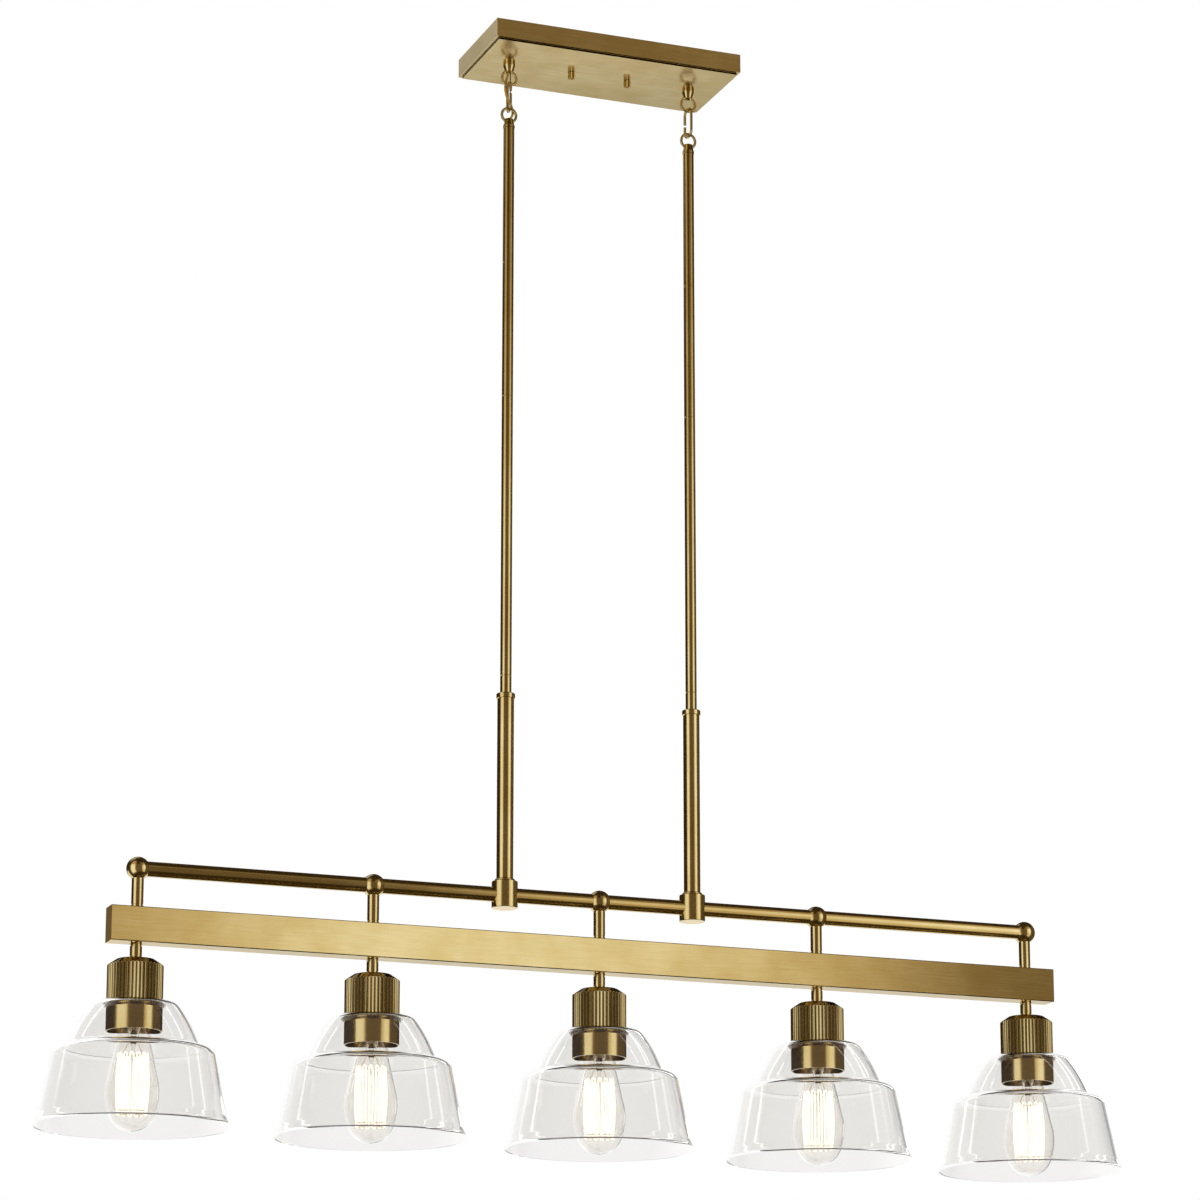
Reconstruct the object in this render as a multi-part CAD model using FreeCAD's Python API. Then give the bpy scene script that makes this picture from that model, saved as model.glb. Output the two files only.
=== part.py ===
"""Five-light linear island pendant: canopy, two link-hung stems, rail, bar and stepped glass shades.

Frame: millimetres, +Z up, origin on the ceiling plane at the middle of the canopy.
+X runs along the fixture, -Y is the front. The fixture hangs below the origin.
"""

import FreeCAD
import Part

import math
import os

Vec = FreeCAD.Vector
X_AXIS = Vec(1, 0, 0)
Z_AXIS = Vec(0, 0, 1)
ORIGIN = Vec(0, 0, 0)

# ---- clearances ----
SEAT_GAP = 0.3          # two pieces that rest on each other but belong to different bodies
RUN_GAP = 0.3           # radial gap round a piece that slides or turns
TAIL_GAP = 0.1          # radial gap round a threaded tail, stud or nipple
FLUSH_GAP = 0.3         # what a screw's end stays short of the ceiling plane

# ---- canopy ----
CANOPY_LENGTH = 302.0
CANOPY_WIDTH = 134.0
CANOPY_BAND = 22.0      # ceiling to the lower edge of the outer band
CANOPY_LIP = 3.5        # flat lip between the band and the raised bottom plate
CANOPY_STEP = 2.3       # how far the bottom plate stands below the lip
CANOPY_SHEET = 1.2

# ---- crossed mounting straps ----
STRAP_WIDTH = 20.0
STRAP_SHEET = 2.0
BOX_STRAP_LENGTH = 104.0
CANOPY_STRAP_LENGTH = 92.0
BOX_SCREW_NEAR = 69.85  # outlet box screw spacings, 2 3/4 in and 3 1/2 in
BOX_SCREW_FAR = 88.9
BOX_SLOT_WIDTH = 4.8
STRAP_SCREW_DIA = 5.8
STRAP_SCREW_HEAD_DIA = 10.0
STRAP_SCREW_HEAD = 2.8
GROUND_SCREW_DIA = 3.5
GROUND_SCREW_HEAD_DIA = 8.0
GROUND_SCREW_HEAD = 3.0
GROUND_SCREW_X = 20.0

# ---- canopy studs and knurled nuts ----
STUD_SPACING = 69.85
STUD_DIA = 4.1
STUD_TIP = 1.0          # what shows of a stud below its nut
STUD_NUT_SIZE = 8.0     # hex nut that locks the stud under the strap
STUD_NUT_HEIGHT = 3.0
NUT_DIA = 8.3
NUT_HEIGHT = 8.5
NUT_RIBS = 16
NUT_RIB_DEPTH = 0.4

# ---- hang loops and open links ----
STEM_SPACING = 224.4
WIRE_DIA = 3.2          # ring and link wire
RING_DIA = 20.6         # outside of a ring
LOOP_BORE_DIA = 6.0     # wire passage through a loop's shank
LOOP_MOUTH = 1.3        # countersink of that passage where the wires leave it
LOOP_THREAD_DIA = 9.5
NOZZLE_TOP_DIA = 14.0
NOZZLE_END_DIA = 9.4
NOZZLE_HEIGHT = 11.6
NOZZLE_BAND = 3.6       # straight band of the nozzle against the canopy
RING_BELOW_NOZZLE = 6.9  # nozzle end to the ring's centre
LOOP_NUT_SIZE = 14.0
LOOP_NUT_HEIGHT = 4.0
LOOP_WASHER_DIA = 19.0
LOOP_WASHER_SHEET = 1.2
LINK_LENGTH = 38.6      # outside
LINK_WIDTH = 18.0       # outside
LINK_OPENING = 2.8      # gap in one leg
LINK_TURN_LEFT = -5.5   # degrees that each link hangs turned about its own length
LINK_TURN_RIGHT = 8.2
OPENING_RISE_LEFT = 2.8  # height of each link's gap above the link's middle
OPENING_RISE_RIGHT = -2.0
HANG_GAP = 0.3          # between a link's wire and the ring's wire that carries it
SHANK_TOP_DIA = 9.8
SHANK_RIM_DIA = 13.6
SHANK_HEIGHT = 11.3
SHANK_BAND = 3.4
RING_ABOVE_SHANK = 4.8  # ring's centre above the shank's top
LOOP_PLUG = 12.0        # threaded end of a stem loop inside the upper stem

# ---- stems ----
STEM_DIA = 12.7
STEM_WALL = 1.0
UPPER_STEM_LENGTH = 164.8
MIDDLE_STEM_LENGTH = 160.0
LOWER_STEM_LENGTH = 327.6
BASE_STEM_SHOWN = 20.4  # base stem above the sleeve
COUPLING_LENGTH = 26.0
COUPLING_WALL = 1.2
EDGE_BREAK = 0.4        # small chamfer on turned ends

# ---- sleeves and tees ----
SLEEVE_DIA = 18.6
SLEEVE_WALL = 1.2
SLEEVE_LENGTH = 214.0   # sleeve top collar's top to the tee
COLLAR_DIA = 21.0
COLLAR_HEIGHT = 6.0
FOOT_RING_DIA = 22.6
FOOT_RING_HEIGHT = 3.0
TEE_DIA = 28.9
TEE_HEIGHT = 30.0
TEE_SOCKET_DEPTH = 12.0  # how far the base stem enters the tee
TEE_CHANNEL_DIA = 9.0   # wire passage inside the tee

# ---- rail, balls and posts ----
LAMP_COUNT = 5
LAMP_SPACING = 264.5
RAIL_DIA = 16.6
RAIL_WALL = 1.2
RAIL_SOCKET_DEPTH = 4.5  # how far a rail tube enters the tee
BALL_DIA = 25.4
BALL_SPIGOT = 5.0       # spigot of a ball inside a rail tube
BALL_CHANNEL_DIA = 7.0
POST_DIA = 12.9
TAIL_DIA = 9.4          # threaded tails of posts and drops
TAIL_BORE_DIA = 6.0     # wire passage through posts and drops
TAIL_IN_BALL = 6.0
TAIL_IN_DROP = 8.0
GROOVE_DEPTH = 0.6
GROOVE_HEIGHT = 1.0
GROOVE_OFFSET = 3.2     # from the end of a post or drop to its groove

# ---- bar ----
BAR_LENGTH = 1119.0
BAR_DEPTH = 25.4
BAR_HEIGHT = 38.1
BAR_WALL = 1.5
BAR_CORNER = 1.2
BAR_BELOW_RAIL = 42.9   # rail axis to the bar's top
BAR_CAP_SHEET = 2.5
BAR_CAP_PLUG = 6.0

# ---- drops, fluted caps and sockets ----
DROP_LENGTH = 18.0
CAP_DIA = 60.0
CAP_TOP_DIA = 41.0
CAP_HEIGHT = 46.0
CAP_CHAMFER = 6.5
CAP_CAVITY_DIA = 50.0
CAP_ROOF = 4.0
FLUTE_COUNT = 44
FLUTE_DEPTH = 1.2
FLUTE_LAND = 0.42       # share of a flute's pitch that stays at full radius
SOCKET_DIA = 40.0
SOCKET_HEAD_DIA = 44.0
SOCKET_HEAD_HEIGHT = 37.0
SOCKET_LENGTH = 58.0
SOCKET_BELOW_CAP = 20.5  # what stands below the fluted cap
SOCKET_WELL = 27.3      # depth of the lamp well
TAIL_IN_SOCKET = 6.0

# ---- retaining cups ----
CUP_DIA = 60.0
CUP_HEIGHT = 24.8
CUP_WALL = 1.4
CUP_WEB = 2.2
GLASS_NECK = 6.0        # glass between the fluted cap and the cup

# ---- shade, heights measured up from the rim ----
SHADE_HOLE_DIA = 41.6
SHADE_HEIGHT = 132.2
GLASS_WALL = 3.0
NECK_FLAT_R = 31.0      # underside of the thick neck
CROWN_R = 38.0          # where the flat top starts to turn down
UPPER_TOP_R = 48.7
UPPER_TOP_Z = 127.5
UPPER_MID_R = 61.0
UPPER_MID_Z = 108.0
UPPER_END_R = 69.8
UPPER_END_Z = 87.4
SHELF_Z = 83.8          # top of the step between the two bodies
SHELF_IN_R = 72.9
SHELF_OUT_R = 79.0
SHOULDER_MID_R = 85.0
SHOULDER_MID_Z = 80.9
LOWER_TOP_R = 87.7
LOWER_TOP_Z = 74.5
LOWER_END_R = 100.3
LOWER_END_Z = 11.0
FLARE_R = 103.2         # where the flare turns into the lip
FLARE_Z = 4.5
RIM_R = 104.9
RIM_LIP = 1.8

# ---- bulb, heights measured up from the bulb's tip ----
BULB_LENGTH = 145.3
BASE_DIA = 26.0
BASE_SHELL_HEIGHT = 23.0
BASE_CONE_HEIGHT = 3.4
BASE_CONTACT_DIA = 9.0
BASE_CONTACT_HEIGHT = 0.8
BULB_SEAT_GAP = 0.4     # bulb's contact to the top of the well
BULB_WALL = 1.0
BULB_NECK_R = 12.1
BULB_NECK_IN_BASE = 6.0
BULB_CONE_R = 15.0      # end of the neck's flare
BULB_CONE_Z = 110.0
BULB_HIP_R = 28.4       # where the straight side meets the round end
BULB_HIP_Z = 52.0
BULB_BELLY_R = 29.0
BULB_BELLY_Z = 41.0
BULB_LOW_R = 24.5
BULB_LOW_Z = 17.5
BULB_PIP_R = 3.2
BULB_PIP_Z = 1.6

# ---- supply cord and earth wire ----
CORD_DIA = 2.7
EARTH_DIA = 1.2
# points are (x from the left stem's axis, y, z from the ceiling), chosen by hand
CORD_UPPER_ROUTE = [
    (-0.8, 0.1, -31.3), (-0.9, 0.3, -37.3), (-2.2, 2.6, -43.3), (-3.3, 4.3, -49.9),
    (-2.9, 4.4, -57.8), (-1.8, 4.05, -62.25),
]
CORD_LOWER_ROUTE = [
    (-1.8, 4.05, -62.25), (-0.7, 3.7, -66.7), (2.6, 3.4, -73.7), (5.6, 3.7, -79.3),
    (5.8, 3.0, -85.1), (3.2, 0.9, -90.5), (-0.5, -0.7, -95.5), (-1.0, -0.9, -100.7),
]
EARTH_UPPER_ROUTE = [
    (1.7, -0.2, -31.3), (1.6, 0.0, -37.3), (2.2, 1.8, -42.9), (3.0, 3.6, -48.3),
    (3.2, 4.4, -54.7), (3.0, 4.7, -62.0), (3.45, 4.9, -65.75),
]
EARTH_LOWER_ROUTE = [
    (3.45, 4.9, -65.75), (3.9, 5.1, -69.5), (6.2, 5.6, -75.6), (7.8, 5.9, -81.1),
    (7.2, 5.4, -85.7), (4.5, 4.0, -89.5), (1.5, 2.1, -93.1), (0.9, 1.8, -97.7),
]

# ---- wire connectors inside the canopy ----
CONNECTOR_COUNT = 3
CONNECTOR_DIA = 9.0
CONNECTOR_TIP_DIA = 6.0
CONNECTOR_LENGTH = 18.0
CONNECTOR_PITCH = 13.0
CONNECTOR_X = -74.0

# ---- stations worked out from the sizes above ----
PLATE_Z = -(CANOPY_BAND + CANOPY_STEP)
RING_R = (RING_DIA - WIRE_DIA) / 2
NOZZLE_END_Z = PLATE_Z - NOZZLE_HEIGHT
CANOPY_RING_Z = NOZZLE_END_Z - RING_BELOW_NOZZLE
UPPER_PIVOT_Z = CANOPY_RING_Z - RING_R
LINK_TOP_Z = UPPER_PIVOT_Z + WIRE_DIA + HANG_GAP
LINK_BOTTOM_Z = LINK_TOP_Z - (LINK_LENGTH - WIRE_DIA)
LOWER_PIVOT_Z = LINK_BOTTOM_Z + WIRE_DIA + HANG_GAP
STEM_RING_Z = LOWER_PIVOT_Z - RING_R
SHANK_TOP_Z = STEM_RING_Z - RING_ABOVE_SHANK
STEM_TOP_Z = SHANK_TOP_Z - SHANK_HEIGHT
MIDDLE_STEM_Z = STEM_TOP_Z - UPPER_STEM_LENGTH
LOWER_STEM_Z = MIDDLE_STEM_Z - MIDDLE_STEM_LENGTH
BASE_STEM_Z = LOWER_STEM_Z - LOWER_STEM_LENGTH
SLEEVE_TOP_Z = BASE_STEM_Z - BASE_STEM_SHOWN
TEE_TOP_Z = SLEEVE_TOP_Z - SLEEVE_LENGTH
RAIL_Z = TEE_TOP_Z - TEE_HEIGHT / 2
BAR_TOP_Z = RAIL_Z - BAR_BELOW_RAIL
BAR_BOTTOM_Z = BAR_TOP_Z - BAR_HEIGHT
CAP_TOP_Z = BAR_BOTTOM_Z - DROP_LENGTH
CAP_BOTTOM_Z = CAP_TOP_Z - CAP_HEIGHT
RIM_Z = CAP_BOTTOM_Z - SEAT_GAP - SHADE_HEIGHT
CUP_TOP_Z = CAP_BOTTOM_Z - GLASS_NECK - 2 * SEAT_GAP
SOCKET_MOUTH_Z = CAP_BOTTOM_Z - SOCKET_BELOW_CAP
SOCKET_TOP_Z = SOCKET_MOUTH_Z + SOCKET_LENGTH
BULB_TOP_Z = SOCKET_MOUTH_Z + SOCKET_WELL - BULB_SEAT_GAP
BULB_TIP_Z = BULB_TOP_Z - BULB_LENGTH

LEFT_X = -STEM_SPACING / 2
RIGHT_X = STEM_SPACING / 2
SIDES = (("left", LEFT_X), ("right", RIGHT_X))
LAMP_X = [(i - (LAMP_COUNT - 1) / 2) * LAMP_SPACING for i in range(LAMP_COUNT)]
STEM_SPANS = (
    ("upper_stems", MIDDLE_STEM_Z, STEM_TOP_Z),
    ("middle_stems", LOWER_STEM_Z, MIDDLE_STEM_Z),
    ("lower_stems", BASE_STEM_Z, LOWER_STEM_Z),
    ("base_stems", TEE_TOP_Z - TEE_SOCKET_DEPTH, BASE_STEM_Z),
)
BALL_R = BALL_DIA / 2
RAIL_SEAT = math.sqrt(BALL_R**2 - (RAIL_DIA / 2) ** 2)  # ball centre to the rail's end
POST_SEAT = math.sqrt(BALL_R**2 - (POST_DIA / 2) ** 2)  # ball centre to the post's end


# ---- shared shape helpers ----
def rod(dia, z_low, z_high, x=0.0, y=0.0):
    """Solid upright cylinder."""
    return Part.makeCylinder(dia / 2, z_high - z_low, Vec(x, y, z_low))


def rod_x(dia, x_low, x_high, y, z):
    """Solid cylinder along X."""
    return Part.makeCylinder(dia / 2, x_high - x_low, Vec(x_low, y, z), X_AXIS)


def block(x_size, y_size, z_low, z_high, x=0.0, y=0.0):
    """Box centred on (x, y)."""
    corner = Vec(x - x_size / 2, y - y_size / 2, z_low)
    return Part.makeBox(x_size, y_size, z_high - z_low, corner)


def revolve(edges, x=0.0, y=0.0):
    """Full turn about Z of a closed profile in the XZ plane, moved to (x, y)."""
    solid = Part.Face(Part.Wire(edges)).revolve(ORIGIN, Z_AXIS, 360)
    solid.translate(Vec(x, y, 0))
    return solid


def turned(points, x=0.0, y=0.0):
    """Turned solid whose closed profile is straight lines through (radius, z) points."""
    corners = [Vec(r, 0, z) for r, z in points]
    closed = corners + [corners[0]]
    edges = [Part.LineSegment(a, b).toShape() for a, b in zip(closed, closed[1:])]
    return revolve(edges, x, y)


def profile_line(start, end):
    """Straight profile edge between two (radius, z) points."""
    return Part.LineSegment(Vec(start[0], 0, start[1]), Vec(end[0], 0, end[1])).toShape()


def profile_arc(start, middle, end):
    """Profile arc through three (radius, z) points."""
    return Part.Arc(*(Vec(r, 0, z) for r, z in (start, middle, end))).toShape()


def hex_nut(size, bore_dia, z_low, z_high, x, y=0.0):
    """Hexagonal nut; size is across the flats."""
    reach = size / math.sqrt(3)
    corners = [
        Vec(x + reach * math.cos(k * math.pi / 3), y + reach * math.sin(k * math.pi / 3), z_low)
        for k in range(7)
    ]
    body = Part.Face(Part.makePolygon(corners)).extrude(Vec(0, 0, z_high - z_low))
    return body.cut(rod(bore_dia, z_low, z_high, x, y))


def pipe_along(path, dia):
    """Round bar swept along a wire of tangent edges."""
    start = path.Edges[0]
    point = start.valueAt(start.FirstParameter)
    tangent = start.tangentAt(start.FirstParameter)
    circle = Part.Wire(Part.Circle(point, tangent, dia / 2).toShape())
    return path.makePipeShell([circle], True, False)


def export(name, solids):
    """Write one node; a group of identical pieces is a compound of separate solids."""
    shape = solids[0] if len(solids) == 1 else Part.makeCompound(solids)
    if not shape.isValid():
        raise ValueError(f"{name} is not a valid shape")
    shape.exportStep(f"parts/{name}.step")


# ---- canopy group ----
def make_canopy_shell():
    """Open-topped pan: outer band, narrow lip, then the bottom plate a step lower."""
    plate_x = CANOPY_LENGTH - 2 * CANOPY_LIP
    plate_y = CANOPY_WIDTH - 2 * CANOPY_LIP
    outside = block(CANOPY_LENGTH, CANOPY_WIDTH, -CANOPY_BAND, 0)
    outside = outside.fuse(block(plate_x, plate_y, PLATE_Z, -CANOPY_BAND))
    wall = 2 * CANOPY_SHEET
    lip_inside = -CANOPY_BAND + CANOPY_SHEET
    inside = block(CANOPY_LENGTH - wall, CANOPY_WIDTH - wall, lip_inside, 0)
    inside = inside.fuse(block(plate_x - wall, plate_y - wall, PLATE_Z + CANOPY_SHEET, lip_inside))
    shell = outside.cut(inside).removeSplitter()
    for _, x in SIDES:
        shell = shell.cut(rod(LOOP_THREAD_DIA + 2 * TAIL_GAP, PLATE_Z, 0, x))
    for side in (-1, 1):
        shell = shell.cut(rod(STUD_DIA + 2 * TAIL_GAP, PLATE_Z, 0, side * STUD_SPACING / 2))
    return shell


def strap_slot(centre_y, z_low, z_high):
    """Slot along Y that takes an outlet box screw at either of its two spacings."""
    travel = (BOX_SCREW_FAR - BOX_SCREW_NEAR) / 2
    slot = block(BOX_SLOT_WIDTH, travel, z_low, z_high, 0, centre_y)
    for end in (-1, 1):
        slot = slot.fuse(rod(BOX_SLOT_WIDTH, z_low, z_high, 0, centre_y + end * travel / 2))
    return slot


def make_box_strap():
    """Strap across the outlet box, with a screw slot near each end and a centre hole."""
    strap = block(STRAP_WIDTH, BOX_STRAP_LENGTH, -STRAP_SHEET, 0)
    strap = strap.makeFillet(STRAP_WIDTH / 4, [e for e in strap.Edges if is_upright(e)])
    for side in (-1, 1):
        centre_y = side * (BOX_SCREW_NEAR + BOX_SCREW_FAR) / 4
        strap = strap.cut(strap_slot(centre_y, -STRAP_SHEET, 0))
    return strap.cut(rod(STRAP_SCREW_DIA + 2 * TAIL_GAP, -STRAP_SHEET, 0))


def is_upright(edge):
    """True for an edge parallel to Z."""
    low, high = (v.Point for v in edge.Vertexes)
    return abs(low.x - high.x) < 1e-6 and abs(low.y - high.y) < 1e-6


def make_canopy_strap():
    """Strap along the canopy, below the box strap, that carries the canopy studs."""
    top, bottom = -STRAP_SHEET, -2 * STRAP_SHEET
    strap = block(CANOPY_STRAP_LENGTH, STRAP_WIDTH, bottom, top)
    strap = strap.makeFillet(STRAP_WIDTH / 4, [e for e in strap.Edges if is_upright(e)])
    holes = [(0, STRAP_SCREW_DIA), (GROUND_SCREW_X, GROUND_SCREW_DIA)]
    holes += [(side * STUD_SPACING / 2, STUD_DIA) for side in (-1, 1)]
    for x, dia in holes:
        strap = strap.cut(rod(dia + 2 * TAIL_GAP, bottom, top, x))
    return strap


def make_strap_screws():
    """Centre screw that locks the two straps, and the earth screw beside it."""
    under = -2 * STRAP_SHEET
    centre = rod(STRAP_SCREW_HEAD_DIA, under - STRAP_SCREW_HEAD, under)
    centre = centre.fuse(rod(STRAP_SCREW_DIA, under, -FLUSH_GAP))
    earth = hex_nut(GROUND_SCREW_HEAD_DIA, GROUND_SCREW_DIA, under - GROUND_SCREW_HEAD, under, GROUND_SCREW_X)
    earth = earth.fuse(rod(GROUND_SCREW_DIA, under - GROUND_SCREW_HEAD, -FLUSH_GAP, GROUND_SCREW_X))
    return [centre, earth]


def make_canopy_studs():
    """Two studs from the canopy strap down through the plate, each with its lock nut."""
    under = -2 * STRAP_SHEET
    tip = PLATE_Z - SEAT_GAP - NUT_HEIGHT - STUD_TIP
    pieces = []
    for side in (-1, 1):
        x = side * STUD_SPACING / 2
        pieces.append(rod(STUD_DIA, tip, -STRAP_SHEET - FLUSH_GAP, x))
        bore = STUD_DIA + 2 * TAIL_GAP
        pieces.append(hex_nut(STUD_NUT_SIZE, bore, under - STUD_NUT_HEIGHT, under, x))
    return pieces


def make_canopy_nut(x):
    """Knurled nut that holds the canopy up, with fine upright ribs."""
    top = PLATE_Z - SEAT_GAP
    radius = NUT_DIA / 2
    points = []
    for k in range(NUT_RIBS):
        for share, r in ((0.0, radius), (0.5, radius - NUT_RIB_DEPTH)):
            angle = 2 * math.pi * (k + share) / NUT_RIBS
            points.append(Vec(x + r * math.cos(angle), r * math.sin(angle), top - NUT_HEIGHT))
    body = Part.Face(Part.makePolygon(points + [points[0]])).extrude(Vec(0, 0, NUT_HEIGHT))
    return body.cut(rod(STUD_DIA + 2 * RUN_GAP, top - NUT_HEIGHT, top, x))


def ring(x, z):
    """Ring of round wire standing in the XZ plane."""
    return Part.makeTorus(RING_R, WIRE_DIA / 2, Vec(x, 0, z), Vec(0, 1, 0))


def wire_passage(mouth_z, far_z, outward, x):
    """Bore from far_z to a countersunk mouth, and on through the ring's wire past the mouth."""
    bore, wide = LOOP_BORE_DIA / 2, LOOP_BORE_DIA / 2 + LOOP_MOUTH
    points = [
        (0, far_z), (bore, far_z), (bore, mouth_z - outward * LOOP_MOUTH), (wide, mouth_z),
        (wide, mouth_z + outward * WIRE_DIA), (0, mouth_z + outward * WIRE_DIA),
    ]
    return turned(points, x)


def make_canopy_loop(x):
    """Nozzle under the plate with the ring in its end and a threaded tail inside."""
    tail_top = PLATE_Z + CANOPY_SHEET + LOOP_WASHER_SHEET + LOOP_NUT_HEIGHT + 1.0
    top_r, end_r, thread_r = NOZZLE_TOP_DIA / 2, NOZZLE_END_DIA / 2, LOOP_THREAD_DIA / 2
    nozzle = turned([
        (0, NOZZLE_END_Z), (end_r, NOZZLE_END_Z), (end_r, NOZZLE_END_Z + 1.5),
        (top_r, PLATE_Z - NOZZLE_BAND), (top_r, PLATE_Z - EDGE_BREAK), (top_r - EDGE_BREAK, PLATE_Z),
        (thread_r, PLATE_Z), (thread_r, tail_top), (0, tail_top),
    ], x)
    loop = nozzle.fuse(ring(x, CANOPY_RING_Z))
    return loop.cut(wire_passage(NOZZLE_END_Z, tail_top, -1, x))


def make_loop_locknuts():
    """Washer and hex nut on each canopy loop, above the plate."""
    pieces = []
    floor = PLATE_Z + CANOPY_SHEET
    bore = LOOP_THREAD_DIA + 2 * TAIL_GAP
    for _, x in SIDES:
        washer = rod(LOOP_WASHER_DIA, floor, floor + LOOP_WASHER_SHEET, x)
        pieces.append(washer.cut(rod(bore, floor, floor + LOOP_WASHER_SHEET, x)))
        seat = floor + LOOP_WASHER_SHEET
        pieces.append(hex_nut(LOOP_NUT_SIZE, bore, seat, seat + LOOP_NUT_HEIGHT, x))
    return pieces


def make_wire_connectors():
    """Tapered twist-on connectors lying on the canopy plate."""
    pieces = []
    for k in range(CONNECTOR_COUNT):
        y = (k - (CONNECTOR_COUNT - 1) / 2) * CONNECTOR_PITCH
        base = Vec(CONNECTOR_X - CONNECTOR_LENGTH / 2, y, PLATE_Z + CANOPY_SHEET + CONNECTOR_DIA / 2)
        pieces.append(Part.makeCone(CONNECTOR_DIA / 2, CONNECTOR_TIP_DIA / 2, CONNECTOR_LENGTH, base, X_AXIS))
    return pieces


# ---- links ----
def make_link(x, turn, open_side, opening_rise):
    """Oval link of round wire with a gap in one leg: open_side is -1 for the front leg."""
    half = (LINK_WIDTH - WIRE_DIA) / 2
    high, low = LINK_TOP_Z - half, LINK_BOTTOM_Z + half
    middle = (high + low) / 2 + opening_rise
    gap_top, gap_bottom = middle + LINK_OPENING / 2, middle - LINK_OPENING / 2
    near, far = open_side * half, -open_side * half
    top_arc = Part.Arc(Vec(0, near, high), Vec(0, 0, LINK_TOP_Z), Vec(0, far, high))
    bottom_arc = Part.Arc(Vec(0, far, low), Vec(0, 0, LINK_BOTTOM_Z), Vec(0, near, low))
    path = Part.Wire([
        Part.LineSegment(Vec(0, near, gap_top), Vec(0, near, high)).toShape(),
        top_arc.toShape(),
        Part.LineSegment(Vec(0, far, high), Vec(0, far, low)).toShape(),
        bottom_arc.toShape(),
        Part.LineSegment(Vec(0, near, low), Vec(0, near, gap_bottom)).toShape(),
    ])
    link = pipe_along(path, WIRE_DIA)
    link.rotate(ORIGIN, Z_AXIS, turn)
    link.translate(Vec(x, 0, 0))
    return link


# ---- stems ----
def make_stem_loop(x):
    """Ring on a flared shank that stands on the upper stem and plugs into it."""
    top_r, rim_r = SHANK_TOP_DIA / 2, SHANK_RIM_DIA / 2
    plug_r = STEM_DIA / 2 - STEM_WALL - TAIL_GAP
    band_top = STEM_TOP_Z + SHANK_BAND
    shank = turned([
        (0, STEM_TOP_Z - LOOP_PLUG), (plug_r, STEM_TOP_Z - LOOP_PLUG), (plug_r, STEM_TOP_Z),
        (rim_r - EDGE_BREAK, STEM_TOP_Z), (rim_r, STEM_TOP_Z + EDGE_BREAK), (rim_r, band_top - EDGE_BREAK),
        (rim_r - EDGE_BREAK, band_top), (top_r, SHANK_TOP_Z - 1.0), (top_r, SHANK_TOP_Z), (0, SHANK_TOP_Z),
    ], x)
    loop = shank.fuse(ring(x, STEM_RING_Z))
    return loop.cut(wire_passage(SHANK_TOP_Z, STEM_TOP_Z - LOOP_PLUG, 1, x))


def stem_tube(x, z_low, z_high):
    """Stem tube with a small chamfer at each end, which shows as the joint line."""
    outer, inner = STEM_DIA / 2, STEM_DIA / 2 - STEM_WALL
    return turned([
        (inner, z_low), (outer - EDGE_BREAK, z_low), (outer, z_low + EDGE_BREAK),
        (outer, z_high - EDGE_BREAK), (outer - EDGE_BREAK, z_high), (inner, z_high),
    ], x)


def make_stem_couplings():
    """Short threaded tubes inside the stem joints."""
    outer = STEM_DIA - 2 * STEM_WALL - 2 * TAIL_GAP
    pieces = []
    for _, x in SIDES:
        for joint_z in (MIDDLE_STEM_Z, LOWER_STEM_Z, BASE_STEM_Z):
            low, high = joint_z - COUPLING_LENGTH / 2, joint_z + COUPLING_LENGTH / 2
            pieces.append(rod(outer, low, high, x).cut(rod(outer - 2 * COUPLING_WALL, low, high, x)))
    return pieces


def make_sleeve(x):
    """Plain outer tube round the base stem, between the foot ring and the collar."""
    low, high = TEE_TOP_Z + FOOT_RING_HEIGHT, SLEEVE_TOP_Z - COLLAR_HEIGHT
    return rod(SLEEVE_DIA, low, high, x).cut(rod(SLEEVE_DIA - 2 * SLEEVE_WALL, low, high, x))


def make_sleeve_collar(x):
    """Collar that closes the sleeve's top round the base stem."""
    outer, inner = COLLAR_DIA / 2, STEM_DIA / 2 + TAIL_GAP
    low = SLEEVE_TOP_Z - COLLAR_HEIGHT
    return turned([
        (inner, low), (outer - EDGE_BREAK, low), (outer, low + EDGE_BREAK),
        (outer, SLEEVE_TOP_Z - 2 * EDGE_BREAK), (outer - 2 * EDGE_BREAK, SLEEVE_TOP_Z), (inner, SLEEVE_TOP_Z),
    ], x)


def make_foot_ring(x):
    """Rounded ring between the sleeve and the tee."""
    outer, inner = FOOT_RING_DIA / 2, STEM_DIA / 2 + TAIL_GAP
    low, high = TEE_TOP_Z, TEE_TOP_Z + FOOT_RING_HEIGHT
    bulge = FOOT_RING_HEIGHT / 2
    edges = [
        profile_line((inner, low), (outer - bulge, low)),
        profile_arc((outer - bulge, low), (outer, low + bulge), (outer - bulge, high)),
        profile_line((outer - bulge, high), (inner, high)),
        profile_line((inner, high), (inner, low)),
    ]
    return revolve(edges, x)


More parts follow.
